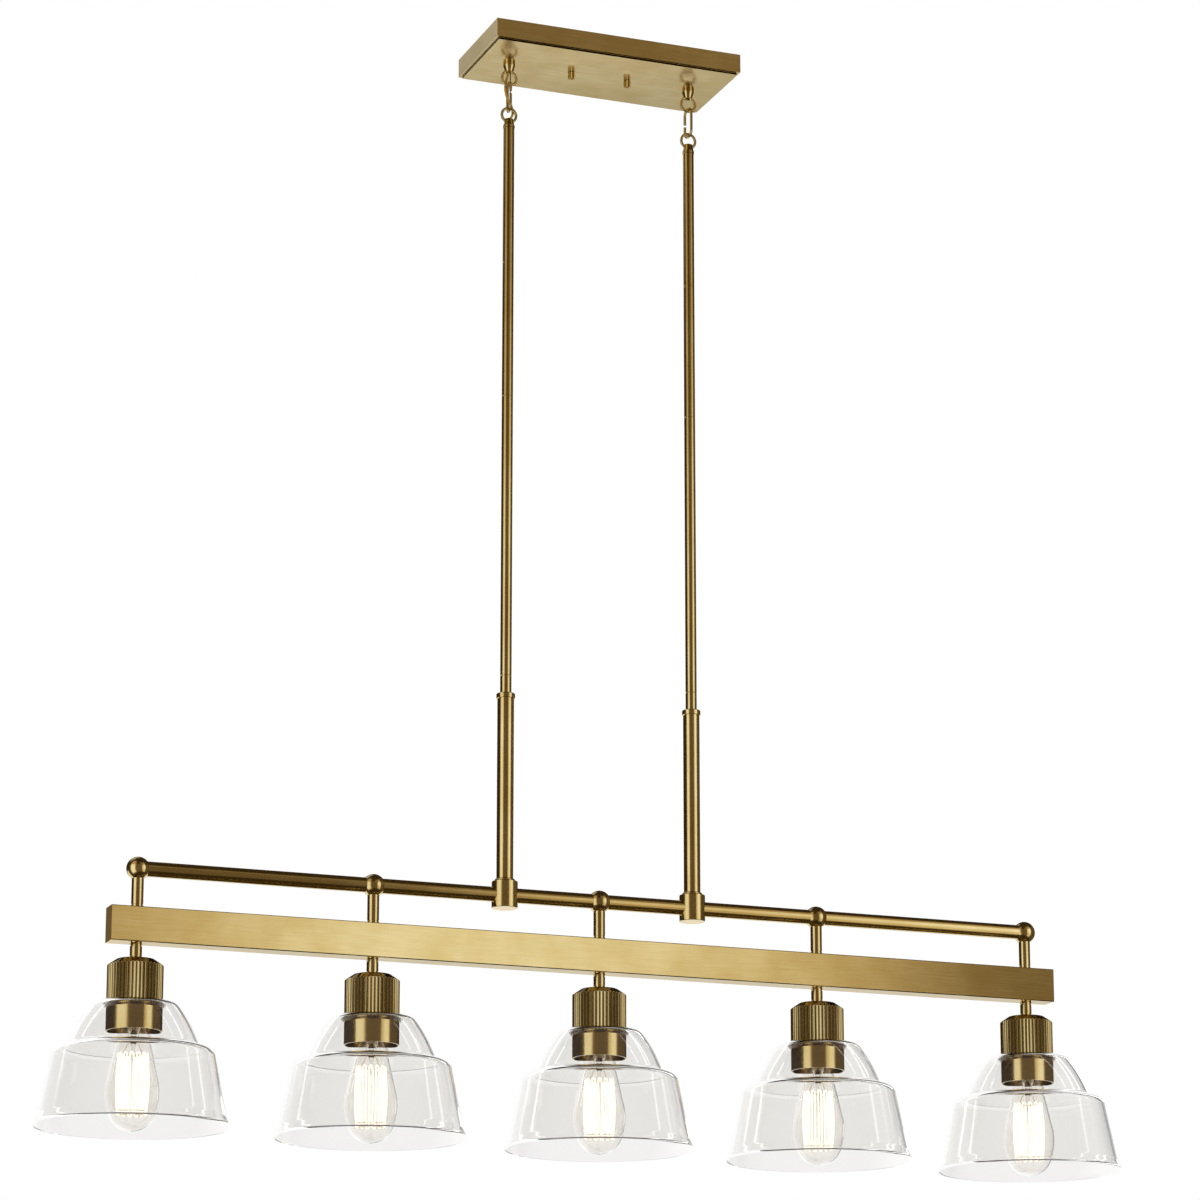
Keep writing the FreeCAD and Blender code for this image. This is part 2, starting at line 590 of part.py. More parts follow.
def make_tee(x):
    """Upright barrel that takes the base stem from above and a rail tube from each side."""
    outer, bottom = TEE_DIA / 2, TEE_TOP_Z - TEE_HEIGHT
    body = turned([
        (0, bottom), (outer - EDGE_BREAK, bottom), (outer, bottom + EDGE_BREAK),
        (outer, TEE_TOP_Z - EDGE_BREAK), (outer - EDGE_BREAK, TEE_TOP_Z), (0, TEE_TOP_Z),
    ], x)
    body = body.cut(rod(STEM_DIA + 2 * TAIL_GAP, TEE_TOP_Z - TEE_SOCKET_DEPTH, TEE_TOP_Z, x))
    body = body.cut(rod(TEE_CHANNEL_DIA, RAIL_Z, TEE_TOP_Z - TEE_SOCKET_DEPTH, x))
    body = body.cut(rod_x(TEE_CHANNEL_DIA, x - outer, x + outer, 0, RAIL_Z))
    inner_end = outer - RAIL_SOCKET_DEPTH
    bore = RAIL_DIA + 2 * TAIL_GAP
    body = body.cut(rod_x(bore, x + inner_end, x + outer, 0, RAIL_Z))
    return body.cut(rod_x(bore, x - outer, x - inner_end, 0, RAIL_Z))


# ---- rail, balls and posts ----
def rail_stations():
    """Each ball and tee along the rail as (x, distance from its axis to the rail tube's end)."""
    balls = [(x, RAIL_SEAT) for x in LAMP_X]
    tees = [(x, TEE_DIA / 2 - RAIL_SOCKET_DEPTH) for _, x in SIDES]
    return sorted(balls + tees)


def make_rail_tubes():
    """Rail tubes between neighbouring balls and tees."""
    stations = rail_stations()
    tubes = []
    for (x_a, seat_a), (x_b, seat_b) in zip(stations, stations[1:]):
        low, high = x_a + seat_a, x_b - seat_b
        bore = rod_x(RAIL_DIA - 2 * RAIL_WALL, low, high, 0, RAIL_Z)
        tubes.append(rod_x(RAIL_DIA, low, high, 0, RAIL_Z).cut(bore))
    return tubes


def make_ball(x, sides):
    """Ball with a flat and a spigot towards each rail tube, and a tapped hole for its post."""
    ball = Part.makeSphere(BALL_R, Vec(x, 0, RAIL_Z))
    spigot_dia = RAIL_DIA - 2 * RAIL_WALL - 2 * TAIL_GAP
    for side in sides:
        cut_x = x + side * (RAIL_SEAT + BALL_R / 2)
        ball = ball.cut(block(BALL_R, BALL_DIA, RAIL_Z - BALL_R, RAIL_Z + BALL_R, cut_x))
        ends = sorted((x, x + side * (RAIL_SEAT + BALL_SPIGOT)))
        ball = ball.fuse(rod_x(spigot_dia, ends[0], ends[1], 0, RAIL_Z))
    ball = ball.cut(block(BALL_DIA, BALL_DIA, RAIL_Z - BALL_R, RAIL_Z - POST_SEAT, x))
    for side in sides:
        ends = sorted((x, x + side * (RAIL_SEAT + BALL_SPIGOT)))
        ball = ball.cut(rod_x(BALL_CHANNEL_DIA, ends[0], ends[1], 0, RAIL_Z))
    tapped = rod(TAIL_DIA + 2 * TAIL_GAP, RAIL_Z - POST_SEAT, RAIL_Z - POST_SEAT + TAIL_IN_BALL, x)
    return ball.cut(tapped).cut(rod(BALL_CHANNEL_DIA, RAIL_Z - POST_SEAT, RAIL_Z, x))


def make_balls():
    """One ball per lamp; the two end balls meet the rail on one side only."""
    balls = []
    for k, x in enumerate(LAMP_X):
        sides = [s for s, there in ((-1, k > 0), (1, k < LAMP_COUNT - 1)) if there]
        balls.append(make_ball(x, sides))
    return balls


def groove(outer, z):
    """Profile points of a small square groove centred on height z, from below upwards."""
    half = GROOVE_HEIGHT / 2
    floor = outer - GROOVE_DEPTH
    return [(outer, z - half), (floor, z - half), (floor, z + half), (outer, z + half)]


def make_post(x):
    """Post from a ball down to the bar; its tail runs through the bar into the drop."""
    outer, tail, bore = POST_DIA / 2, TAIL_DIA / 2, TAIL_BORE_DIA / 2
    top, foot = RAIL_Z - POST_SEAT, BAR_TOP_Z
    tail_top, tail_end = top + TAIL_IN_BALL, BAR_BOTTOM_Z - TAIL_IN_DROP
    return turned([
        (bore, tail_end), (tail, tail_end), (tail, foot), (outer, foot),
        *groove(outer, foot + GROOVE_OFFSET),
        (outer, top), (tail, top), (tail, tail_top), (bore, tail_top),
    ], x)


# ---- bar ----
def bar_section(depth, height, corner, x):
    """Rounded rectangle in the YZ plane at x, as a face."""
    y, mid, z = depth / 2, (BAR_TOP_Z + BAR_BOTTOM_Z) / 2, height / 2
    corners = [(-y, mid - z), (y, mid - z), (y, mid + z), (-y, mid + z), (-y, mid - z)]
    outline = Part.makePolygon([Vec(x, a, b) for a, b in corners])
    plate = Part.Face(outline).extrude(X_AXIS)
    along_x = [e for e in plate.Edges if abs(e.tangentAt(e.FirstParameter).x) > 0.99]
    rounded = plate.makeFillet(corner, along_x)
    return next(f for f in rounded.Faces if abs(f.CenterOfMass.x - x) < 1e-6)


def make_bar():
    """Rectangular tube with a hole above and below for each post's tail."""
    length = BAR_LENGTH - 2 * BAR_CAP_SHEET
    x_low = -length / 2
    bar = bar_section(BAR_DEPTH, BAR_HEIGHT, BAR_CORNER, x_low).extrude(X_AXIS * length)
    wall = 2 * BAR_WALL
    mid = (BAR_TOP_Z + BAR_BOTTOM_Z) / 2
    inner_half = (BAR_HEIGHT - wall) / 2
    bar = bar.cut(block(length, BAR_DEPTH - wall, mid - inner_half, mid + inner_half))
    for x in LAMP_X:
        bar = bar.cut(rod(TAIL_DIA + 2 * TAIL_GAP, BAR_BOTTOM_Z, BAR_TOP_Z, x))
    return bar


def make_bar_end_caps():
    """End plate with a plug that fits inside the bar, at each end."""
    caps = []
    mid = (BAR_TOP_Z + BAR_BOTTOM_Z) / 2
    plug_half = BAR_HEIGHT / 2 - BAR_WALL - TAIL_GAP
    plug_depth = BAR_DEPTH - 2 * BAR_WALL - 2 * TAIL_GAP
    for side in (-1, 1):
        outer_x = side * BAR_LENGTH / 2
        section = bar_section(BAR_DEPTH, BAR_HEIGHT, BAR_CORNER, outer_x)
        plate = section.extrude(X_AXIS * (-side * BAR_CAP_SHEET))
        plug_x = outer_x - side * (BAR_CAP_SHEET + BAR_CAP_PLUG / 2)
        plug = block(BAR_CAP_PLUG, plug_depth, mid - plug_half, mid + plug_half, plug_x)
        caps.append(plate.fuse(plug))
    return caps


# ---- lamp heads ----
def make_drop(x):
    """Short post under the bar; it takes the upper post's tail and carries the socket."""
    outer, tail, bore = POST_DIA / 2, TAIL_DIA / 2, TAIL_BORE_DIA / 2
    pocket = tail + TAIL_GAP
    pocket_floor = BAR_BOTTOM_Z - TAIL_IN_DROP - 1.0
    tail_end = SOCKET_TOP_Z - TAIL_IN_SOCKET
    return turned([
        (bore, tail_end), (tail, tail_end), (tail, CAP_TOP_Z), (outer, CAP_TOP_Z),
        *groove(outer, CAP_TOP_Z + GROOVE_OFFSET),
        *groove(outer, BAR_BOTTOM_Z - GROOVE_OFFSET),
        (outer, BAR_BOTTOM_Z), (pocket, BAR_BOTTOM_Z), (pocket, pocket_floor), (bore, pocket_floor),
    ], x)


def fluted_prism(x, z_low, z_high):
    """Upright prism with V-shaped flutes between narrow lands."""
    radius, root = CAP_DIA / 2, CAP_DIA / 2 - FLUTE_DEPTH
    points = []
    for k in range(FLUTE_COUNT):
        for share, r in ((-FLUTE_LAND / 2, radius), (FLUTE_LAND / 2, radius), (0.5, root)):
            angle = 2 * math.pi * (k + share) / FLUTE_COUNT
            points.append(Vec(x + r * math.cos(angle), r * math.sin(angle), z_low))
    return Part.Face(Part.makePolygon(points + [points[0]])).extrude(Vec(0, 0, z_high - z_low))


def make_fluted_cap(x):
    """Fluted housing of the socket: chamfered top, open bottom, hole for the drop's tail."""
    outer, top_r, cavity = CAP_DIA / 2 + 1.0, CAP_TOP_DIA / 2, CAP_CAVITY_DIA / 2
    chamfer_slope = CAP_CHAMFER / (CAP_DIA / 2 - top_r)
    shoulder_z = CAP_TOP_Z - (outer - top_r) * chamfer_slope
    roof_z = CAP_TOP_Z - CAP_ROOF
    hole = TAIL_DIA / 2 + TAIL_GAP
    envelope = turned([
        (cavity, CAP_BOTTOM_Z), (outer, CAP_BOTTOM_Z), (outer, shoulder_z), (top_r, CAP_TOP_Z),
        (hole, CAP_TOP_Z), (hole, roof_z), (cavity - CAP_ROOF, roof_z), (cavity, roof_z - CAP_ROOF),
    ], x)
    return fluted_prism(x, CAP_BOTTOM_Z, CAP_TOP_Z).common(envelope)


def make_socket(x):
    """Lamp holder: head inside the fluted cap, threaded barrel below it, open lamp well."""
    head, barrel = SOCKET_HEAD_DIA / 2, SOCKET_DIA / 2
    well, well_top = BASE_DIA / 2 + RUN_GAP, SOCKET_MOUTH_Z + SOCKET_WELL
    tapped = TAIL_DIA / 2 + TAIL_GAP
    neck_z = SOCKET_TOP_Z - SOCKET_HEAD_HEIGHT
    tap_floor = SOCKET_TOP_Z - TAIL_IN_SOCKET - 1.0
    return turned([
        (well, SOCKET_MOUTH_Z), (barrel, SOCKET_MOUTH_Z), (barrel, neck_z), (head, neck_z),
        (head, SOCKET_TOP_Z), (tapped, SOCKET_TOP_Z), (tapped, tap_floor),
        (0, tap_floor), (0, well_top), (well, well_top),
    ], x)


def make_retaining_cup(x):
    """Open-bottomed cup that screws up the socket barrel and clamps the glass."""
    outer, inner = CUP_DIA / 2, CUP_DIA / 2 - CUP_WALL
    hole = SOCKET_DIA / 2 + RUN_GAP
    bottom = CUP_TOP_Z - CUP_HEIGHT
    return turned([
        (hole, CUP_TOP_Z - CUP_WEB), (inner, CUP_TOP_Z - CUP_WEB), (inner, bottom),
        (outer, bottom), (outer, CUP_TOP_Z - EDGE_BREAK), (outer - EDGE_BREAK, CUP_TOP_Z),
        (hole, CUP_TOP_Z),
    ], x)


def inside(point, before, after):
    """Point one glass thickness in from an outer profile point, square to its neighbours."""
    run_r, run_z = after[0] - before[0], after[1] - before[1]
    length = math.hypot(run_r, run_z)
    return point[0] + GLASS_WALL * run_z / length, point[1] - GLASS_WALL * run_r / length


def make_shade(x):
    """Stepped glass bell: thick neck, bulging upper body, shelf, long skirt and flared rim."""
    def at(r, height):
        return r, RIM_Z + height

    hole = SHADE_HOLE_DIA / 2
    neck_low = SHADE_HEIGHT - GLASS_NECK
    crown = at(CROWN_R, SHADE_HEIGHT)
    turn = at((CROWN_R + UPPER_TOP_R) / 2 + 1.2, SHADE_HEIGHT - 1.1)
    upper_top, upper_mid, upper_end = (
        at(UPPER_TOP_R, UPPER_TOP_Z), at(UPPER_MID_R, UPPER_MID_Z), at(UPPER_END_R, UPPER_END_Z))
    shelf_in, shelf_out = at(SHELF_IN_R, SHELF_Z), at(SHELF_OUT_R, SHELF_Z)
    shoulder, lower_top = at(SHOULDER_MID_R, SHOULDER_MID_Z), at(LOWER_TOP_R, LOWER_TOP_Z)
    lower_end, flare = at(LOWER_END_R, LOWER_END_Z), at(FLARE_R, FLARE_Z)
    lip_top, lip_foot = at(RIM_R, RIM_LIP), at(RIM_R - RIM_LIP / 2, 0)

    in_lower_end = inside(lower_end, lower_top, flare)
    in_lower_top = inside(lower_top, shoulder, lower_end)
    in_shoulder = inside(shoulder, shelf_out, lower_top)
    in_shelf_out = inside(shelf_out, shelf_in, shoulder)
    in_shelf_in = inside(shelf_in, upper_end, shelf_out)
    in_upper_end = inside(upper_end, upper_mid, shelf_in)
    in_upper_mid = inside(upper_mid, upper_top, upper_end)
    in_upper_top = inside(upper_top, turn, upper_mid)
    in_turn = inside(turn, crown, upper_top)
    in_crown = inside(crown, at(NECK_FLAT_R, SHADE_HEIGHT), turn)
    in_lip = at(RIM_R - GLASS_WALL, 0)
    neck_in, neck_out = at(hole, neck_low), at(NECK_FLAT_R, neck_low)
    top_in = at(hole, SHADE_HEIGHT)
    edges = [
        profile_line(top_in, crown),
        profile_arc(crown, turn, upper_top),
        profile_arc(upper_top, upper_mid, upper_end),
        profile_line(upper_end, shelf_in),
        profile_line(shelf_in, shelf_out),
        profile_arc(shelf_out, shoulder, lower_top),
        profile_line(lower_top, lower_end),
        profile_line(lower_end, flare),
        profile_line(flare, lip_top),
        profile_line(lip_top, lip_foot),
        profile_line(lip_foot, in_lip),
        profile_line(in_lip, in_lower_end),
        profile_line(in_lower_end, in_lower_top),
        profile_arc(in_lower_top, in_shoulder, in_shelf_out),
        profile_line(in_shelf_out, in_shelf_in),
        profile_line(in_shelf_in, in_upper_end),
        profile_arc(in_upper_end, in_upper_mid, in_upper_top),
        profile_arc(in_upper_top, in_turn, in_crown),
        profile_line(in_crown, neck_out),
        profile_line(neck_out, neck_in),
        profile_line(neck_in, top_in),
    ]
    return revolve(edges, x)


def make_bulb(x):
    """Filament bulb: screw base and, as a separate solid, its hollow glass envelope."""
    def at(r, height):
        return r, BULB_TIP_Z + height

    shell_top = BULB_LENGTH - BASE_CONTACT_HEIGHT - BASE_CONE_HEIGHT
    shell_low = shell_top - BASE_SHELL_HEIGHT
    base_r, contact_r = BASE_DIA / 2, BASE_CONTACT_DIA / 2
    pocket_r, pocket_top = BULB_NECK_R + RUN_GAP, shell_low + BULB_NECK_IN_BASE + RUN_GAP
    cone_top = shell_top + BASE_CONE_HEIGHT
    base = turned([at(r, h) for r, h in (
        (0, pocket_top), (pocket_r, pocket_top), (pocket_r, shell_low), (base_r, shell_low),
        (base_r, shell_top), (contact_r, cone_top), (contact_r, BULB_LENGTH), (0, BULB_LENGTH),
    )], x)

    neck_top, neck_low = shell_low + BULB_NECK_IN_BASE, shell_low - RUN_GAP
    wall = BULB_WALL
    outer = [at(BULB_NECK_R, neck_top), at(BULB_NECK_R, neck_low), at(BULB_CONE_R, BULB_CONE_Z),
             at(BULB_HIP_R, BULB_HIP_Z), at(BULB_BELLY_R, BULB_BELLY_Z), at(BULB_LOW_R, BULB_LOW_Z),
             at(BULB_PIP_R, BULB_PIP_Z), at(0, 0)]
    inner = [at(0, BULB_PIP_Z + wall), at(BULB_LOW_R - wall, BULB_LOW_Z + wall / 2),
             at(BULB_BELLY_R - wall, BULB_BELLY_Z), at(BULB_HIP_R - wall, BULB_HIP_Z),
             at(BULB_CONE_R - wall, BULB_CONE_Z), at(BULB_NECK_R - wall, neck_low),
             at(BULB_NECK_R - wall, neck_top)]
    round_end = ((BULB_LOW_R + BULB_PIP_R) / 2 + 1.4, BULB_LOW_Z * 0.34)
    edges = [
        profile_line(outer[0], outer[1]),
        profile_line(outer[1], outer[2]),
        profile_line(outer[2], outer[3]),
        profile_arc(outer[3], outer[4], outer[5]),
        profile_arc(outer[5], at(*round_end), outer[6]),
        profile_line(outer[6], outer[7]),
        profile_line(outer[7], inner[0]),
        profile_arc(inner[0], at(round_end[0] - wall, round_end[1] + wall), inner[1]),
        profile_arc(inner[1], inner[2], inner[3]),
        profile_line(inner[3], inner[4]),
        profile_line(inner[4], inner[5]),
        profile_line(inner[5], inner[6]),
        profile_line(inner[6], outer[0]),
    ]
    return [base, revolve(edges, x)]


# ---- cords ----
def cord_tube(name, route, dia):
    """Straight runs joined by the largest tangent arcs that the runs allow; prints its radii."""
    points = [Vec(LEFT_X + x, y, z) for x, y, z in route]
    edges, start, radii = [], points[0], []
    for before, corner, after in zip(points, points[1:], points[2:]):
        into, out = corner - before, after - corner
        reach = 0.45 * min(into.Length, out.Length)
        half_turn = into.getAngle(out) / 2
        radii.append(reach / math.tan(half_turn))
        first = corner - Vec(into).normalize() * reach
        last = corner + Vec(out).normalize() * reach
        bisector = (Vec(out).normalize() - Vec(into).normalize()).normalize()
        sag = radii[-1] * (1 / math.cos(half_turn) - 1)
        edges.append(Part.LineSegment(start, first).toShape())
        edges.append(Part.Arc(first, corner + bisector * sag, last).toShape())
        start = last
    edges.append(Part.LineSegment(start, points[-1]).toShape())
    path = Part.Wire(edges)
    tube = pipe_along(path, dia)
    expected = math.pi * dia**2 / 4 * path.Length
    rounded = ", ".join(f"{r:.1f}" for r in radii)
    print(f"{name}: length {path.Length:.1f}, volume share {tube.Volume / expected:.4f}, radii {rounded}")
    return tube


def main():
    """Build every node and write its file."""
    os.makedirs("parts", exist_ok=True)
    export("canopy_shell", [make_canopy_shell()])
    export("box_strap", [make_box_strap()])
    export("canopy_strap", [make_canopy_strap()])
    export("strap_screws", make_strap_screws())
    export("canopy_studs", make_canopy_studs())
    export("loop_locknuts", make_loop_locknuts())
    export("wire_connectors", make_wire_connectors())
    export("canopy_nut_left", [make_canopy_nut(-STUD_SPACING / 2)])
    export("canopy_nut_right", [make_canopy_nut(STUD_SPACING / 2)])
    export("link_left", [make_link(LEFT_X, LINK_TURN_LEFT, -1, OPENING_RISE_LEFT)])
    export("link_right", [make_link(RIGHT_X, LINK_TURN_RIGHT, 1, OPENING_RISE_RIGHT)])
    for side, x in SIDES:
        export(f"canopy_loop_{side}", [make_canopy_loop(x)])
        export(f"stem_loop_{side}", [make_stem_loop(x)])
        export(f"sleeve_{side}", [make_sleeve(x)])
        export(f"tee_{side}", [make_tee(x)])
    for name, low, high in STEM_SPANS:
        export(name, [stem_tube(x, low, high) for _, x in SIDES])
    export("stem_couplings", make_stem_couplings())
    export("sleeve_rings", [make(x) for _, x in SIDES for make in (make_sleeve_collar, make_foot_ring)])
    export("rail_tubes", make_rail_tubes())
    export("ball_joints", make_balls())
    export("bar_posts", [make_post(x) for x in LAMP_X])
    export("cross_bar", [make_bar()])
    export("bar_end_caps", make_bar_end_caps())
    export("socket_drops", [make_drop(x) for x in LAMP_X])
    for number, x in enumerate(LAMP_X, start=1):
        export(f"lamp_socket_{number}", [make_socket(x)])
        export(f"fluted_cap_{number}", [make_fluted_cap(x)])
        export(f"retaining_cup_{number}", [make_retaining_cup(x)])
        export(f"shade_{number}", [make_shade(x)])
        export(f"bulb_{number}", make_bulb(x))
    export("cord_upper", [cord_tube("cord_upper", CORD_UPPER_ROUTE, CORD_DIA)])
    export("cord_lower", [cord_tube("cord_lower", CORD_LOWER_ROUTE, CORD_DIA)])
    export("earth_wire_upper", [cord_tube("earth_wire_upper", EARTH_UPPER_ROUTE, EARTH_DIA)])
    export("earth_wire_lower", [cord_tube("earth_wire_lower", EARTH_LOWER_ROUTE, EARTH_DIA)])
    print(f"upper pivot {UPPER_PIVOT_Z:.2f}, lower pivot {LOWER_PIVOT_Z:.2f}, rail {RAIL_Z:.2f}")
    print(f"bar {BAR_TOP_Z:.2f} to {BAR_BOTTOM_Z:.2f}, cap {CAP_TOP_Z:.2f} to {CAP_BOTTOM_Z:.2f}")
    print(f"rim {RIM_Z:.2f}, bulb tip {BULB_TIP_Z:.2f}")


main()
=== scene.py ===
"""Dressed model of a five-light linear island pendant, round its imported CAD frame.

Metres, the CAD frame: origin on the ceiling plane, +X along the fixture, -Y to the front.
The sizes that a class keeps for its own piece are millimetres.
"""

from __future__ import annotations

import logging
import math
from dataclasses import dataclass
from enum import Enum
from functools import cache
from typing import Any

import bmesh
import bpy
import numpy as np
from bpy.types import Material, Node, NodeSocket, NodeTree, Object
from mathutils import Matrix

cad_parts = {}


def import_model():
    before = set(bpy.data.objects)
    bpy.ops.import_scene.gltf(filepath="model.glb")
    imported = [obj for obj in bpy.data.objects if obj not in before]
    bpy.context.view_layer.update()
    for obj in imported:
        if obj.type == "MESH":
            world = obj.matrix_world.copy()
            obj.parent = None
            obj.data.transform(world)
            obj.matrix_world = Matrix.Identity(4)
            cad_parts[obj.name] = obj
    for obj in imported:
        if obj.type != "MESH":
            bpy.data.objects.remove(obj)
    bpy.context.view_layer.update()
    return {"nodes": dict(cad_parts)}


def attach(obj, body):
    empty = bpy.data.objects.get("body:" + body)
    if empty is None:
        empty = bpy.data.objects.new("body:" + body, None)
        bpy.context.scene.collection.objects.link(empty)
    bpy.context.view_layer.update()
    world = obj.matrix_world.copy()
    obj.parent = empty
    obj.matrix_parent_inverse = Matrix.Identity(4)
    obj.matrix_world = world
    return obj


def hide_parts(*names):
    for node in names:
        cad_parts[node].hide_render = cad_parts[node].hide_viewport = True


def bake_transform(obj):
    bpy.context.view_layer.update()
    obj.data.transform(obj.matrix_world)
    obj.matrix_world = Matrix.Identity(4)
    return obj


LOG = logging.getLogger("pendant")
MM = 0.001
LAMP_COUNT = 5
LAMP_SPACING = 264.5 * MM
STEM_X = 112.2 * MM
LAMP_X = tuple((i - 2) * LAMP_SPACING for i in range(LAMP_COUNT))

Points = np.ndarray
Faces = list[tuple[int, ...]]
Shape = tuple[Points, Faces]
Pair = tuple[float, float]  # radius and height, or the two ends of something
Place = tuple[float, float, float]


# ---- colour and node helpers ----
def linear(hex_colour: str) -> tuple[float, float, float, float]:
    """Turn an sRGB hex colour into linear red, green, blue and a full alpha.

    Args:
        hex_colour: six digits with a leading hash.

    Returns:
        The four values.
    """
    values = [int(hex_colour[i : i + 2], 16) / 255 for i in (1, 3, 5)]
    lit = [v / 12.92 if v <= 0.04045 else ((v + 0.055) / 1.055) ** 2.4 for v in values]
    return lit[0], lit[1], lit[2], 1.0


def add_node(
    tree: NodeTree, kind: str, inputs: dict[Any, Any] | None = None, **settings: Any
) -> Node:
    """Add a node, set its properties, and fill or link its inputs.

    Args:
        tree: the node tree.
        kind: the node's type name, without ShaderNode before it.
        inputs: socket name or number to a value, a hex colour, an output or a node, which
            stands for its first output.
        settings: properties of the node itself.

    Returns:
        The new node.
    """
    made = tree.nodes.new("ShaderNode" + kind)
    for name, value in settings.items():
        setattr(made, name, value)
    for key, value in (inputs or {}).items():
        if isinstance(value, Node):
            value = value.outputs[0]
        if isinstance(value, NodeSocket):
            tree.links.new(value, made.inputs[key])
        else:
            made.inputs[key].default_value = linear(value) if isinstance(value, str) else value
    return made


def blank_material(name: str) -> tuple[Material, NodeTree]:
    """Make a material with an empty node tree.

    Args:
        name: the material's name.

    Returns:
        The material and its tree.
    """
    material = bpy.data.materials.new(name)
    material.use_nodes = True
    material.node_tree.nodes.clear()
    return material, material.node_tree


def close_material(tree: NodeTree, shader: Node) -> None:
    """Link a shader to the material's surface."""
    add_node(tree, "OutputMaterial", {"Surface": shader})


# ---- finishes ----
class Grain(Enum):
    """Which way the satin brushing runs, as the stretch of its noise along x, y and z."""

    ALONG_X = (0.02, 1.0, 1.0)
    ROUND_Z = (1.0, 1.0, 0.9)
    ALONG_Z = (1.0, 1.0, 0.02)


@dataclass(frozen=True)
class SatinBrass:
    """Antique brass plate under clear lacquer: satin, brushed, a little darker in patches."""

    name: str
    roughness: float
    grain: Grain
    painted_shade_step: Pair | None = None  # heights between which painted shade darkens the step
    painted_shade: str | None = None  # attribute that says how much painted shade lies in a flute's hollow
    tone: str = "#EBD8A1"
    shade: str = "#D9C283"
    # colour of the painted shade in the canopy's step
    step_shade_tone: str = "#1C1206"
    # colour of the painted shade in the flutes' hollows
    flute_shade_tone: str = "#2A1B0A"
    brush_mm: float = 0.8  # spacing of the brush lines, drawn coarser than real so that they show
    patch_mm: float = 45.0
    brush_ends: Pair = (0.3, 0.7)  # noise levels of the smoothest and the roughest brush line
    tone_ends: Pair = (0.12, 0.38)  # brush times patch at which the shade and the tone are full
    sheen_spread: float = 0.015  # how far the brush lines move the roughness, up or down
    bump: float = 0.06
    bump_mm: float = 0.1

    def material(self) -> Material:
        """Build the metal: brushed noise for relief and sheen, broad noise for tone.

        Returns:
            The material.
        """
        material, tree = blank_material(self.name)
        place = add_node(tree, "TexCoord").outputs["Object"]
        lay = add_node(tree, "Mapping", {"Vector": place, "Scale": self.grain.value})
        brush = add_node(tree, "TexNoise", {
            "Vector": lay, "Scale": 1 / (self.brush_mm * MM), "Detail": 3.0})
        patch = add_node(tree, "TexNoise", {
            "Vector": place, "Scale": 1 / (self.patch_mm * MM), "Detail": 2.0})
        sheen = add_node(tree, "MapRange", {
            "Value": brush, "From Min": self.brush_ends[0], "From Max": self.brush_ends[1],
            "To Min": self.roughness - self.sheen_spread,
            "To Max": self.roughness + self.sheen_spread})
        both = add_node(tree, "Math", {0: patch, 1: brush}, operation="MULTIPLY")
        share = add_node(tree, "MapRange", {
            "Value": both, "From Min": self.tone_ends[0], "From Max": self.tone_ends[1]})
        colour = add_node(tree, "Mix", {
            "Factor": share, 6: self.shade, 7: self.tone}, data_type="RGBA").outputs[2]
        if self.painted_shade_step is not None:
            # Painted shade in the step: dark where the height lies inside it.
            height = add_node(tree, "SeparateXYZ", {0: place}).outputs["Z"]
            low, high = self.painted_shade_step
            inside = add_node(tree, "Math", {
                0: height, 1: (low + high) / 2 * MM, 2: (high - low) / 2 * MM},
                operation="COMPARE")
            colour = add_node(tree, "Mix", {
                "Factor": inside, 6: colour, 7: self.step_shade_tone}, data_type="RGBA").outputs[2]
        # Painted shade in the flutes' hollows, as much as the mesh attribute says.
        if self.painted_shade is not None:
            painted_flute_shade = add_node(tree, "Attribute", attribute_name=self.painted_shade)
            colour = add_node(tree, "Mix", {
                "Factor": painted_flute_shade.outputs["Fac"], 6: colour, 7: self.flute_shade_tone},
                data_type="RGBA").outputs[2]
        relief = add_node(tree, "Bump", {
            "Height": brush, "Strength": self.bump, "Distance": self.bump_mm * MM})
        close_material(tree, add_node(tree, "BsdfPrincipled", {
            "Base Color": colour, "Metallic": 1.0, "Roughness": sheen, "Normal": relief}))
        return material


@dataclass(frozen=True)
class ClearGlass:
    """Soda-lime glass, blown in a mould: clear, faintly grey, with slow ripples."""

    name: str
    tint: str
    ripple_mm: float
    ripple: float
    ripple_depth_mm: float = 1.0
    ior: float = 1.5

    def material(self) -> Material:
        """Build the glass with a slow ripple in its surface.

        Returns:
            The material.
        """
        material, tree = blank_material(self.name)
        place = add_node(tree, "TexCoord").outputs["Object"]
        ripple = add_node(tree, "TexNoise", {
            "Vector": place, "Scale": 1 / (self.ripple_mm * MM), "Detail": 1.0})
        relief = add_node(tree, "Bump", {
            "Height": ripple, "Strength": self.ripple, "Distance": self.ripple_depth_mm * MM})
        close_material(tree, add_node(tree, "BsdfPrincipled", {
            "Base Color": self.tint, "Roughness": 0.0, "IOR": self.ior,
            "Transmission Weight": 1.0, "Normal": relief}))
        return material


class Pattern(Enum):
    """Pattern of a mottled finish: its texture and the output that mixes the two tones."""

    CLOUDS = ("TexNoise", 0)
    SPANGLE = ("TexVoronoi", 1)


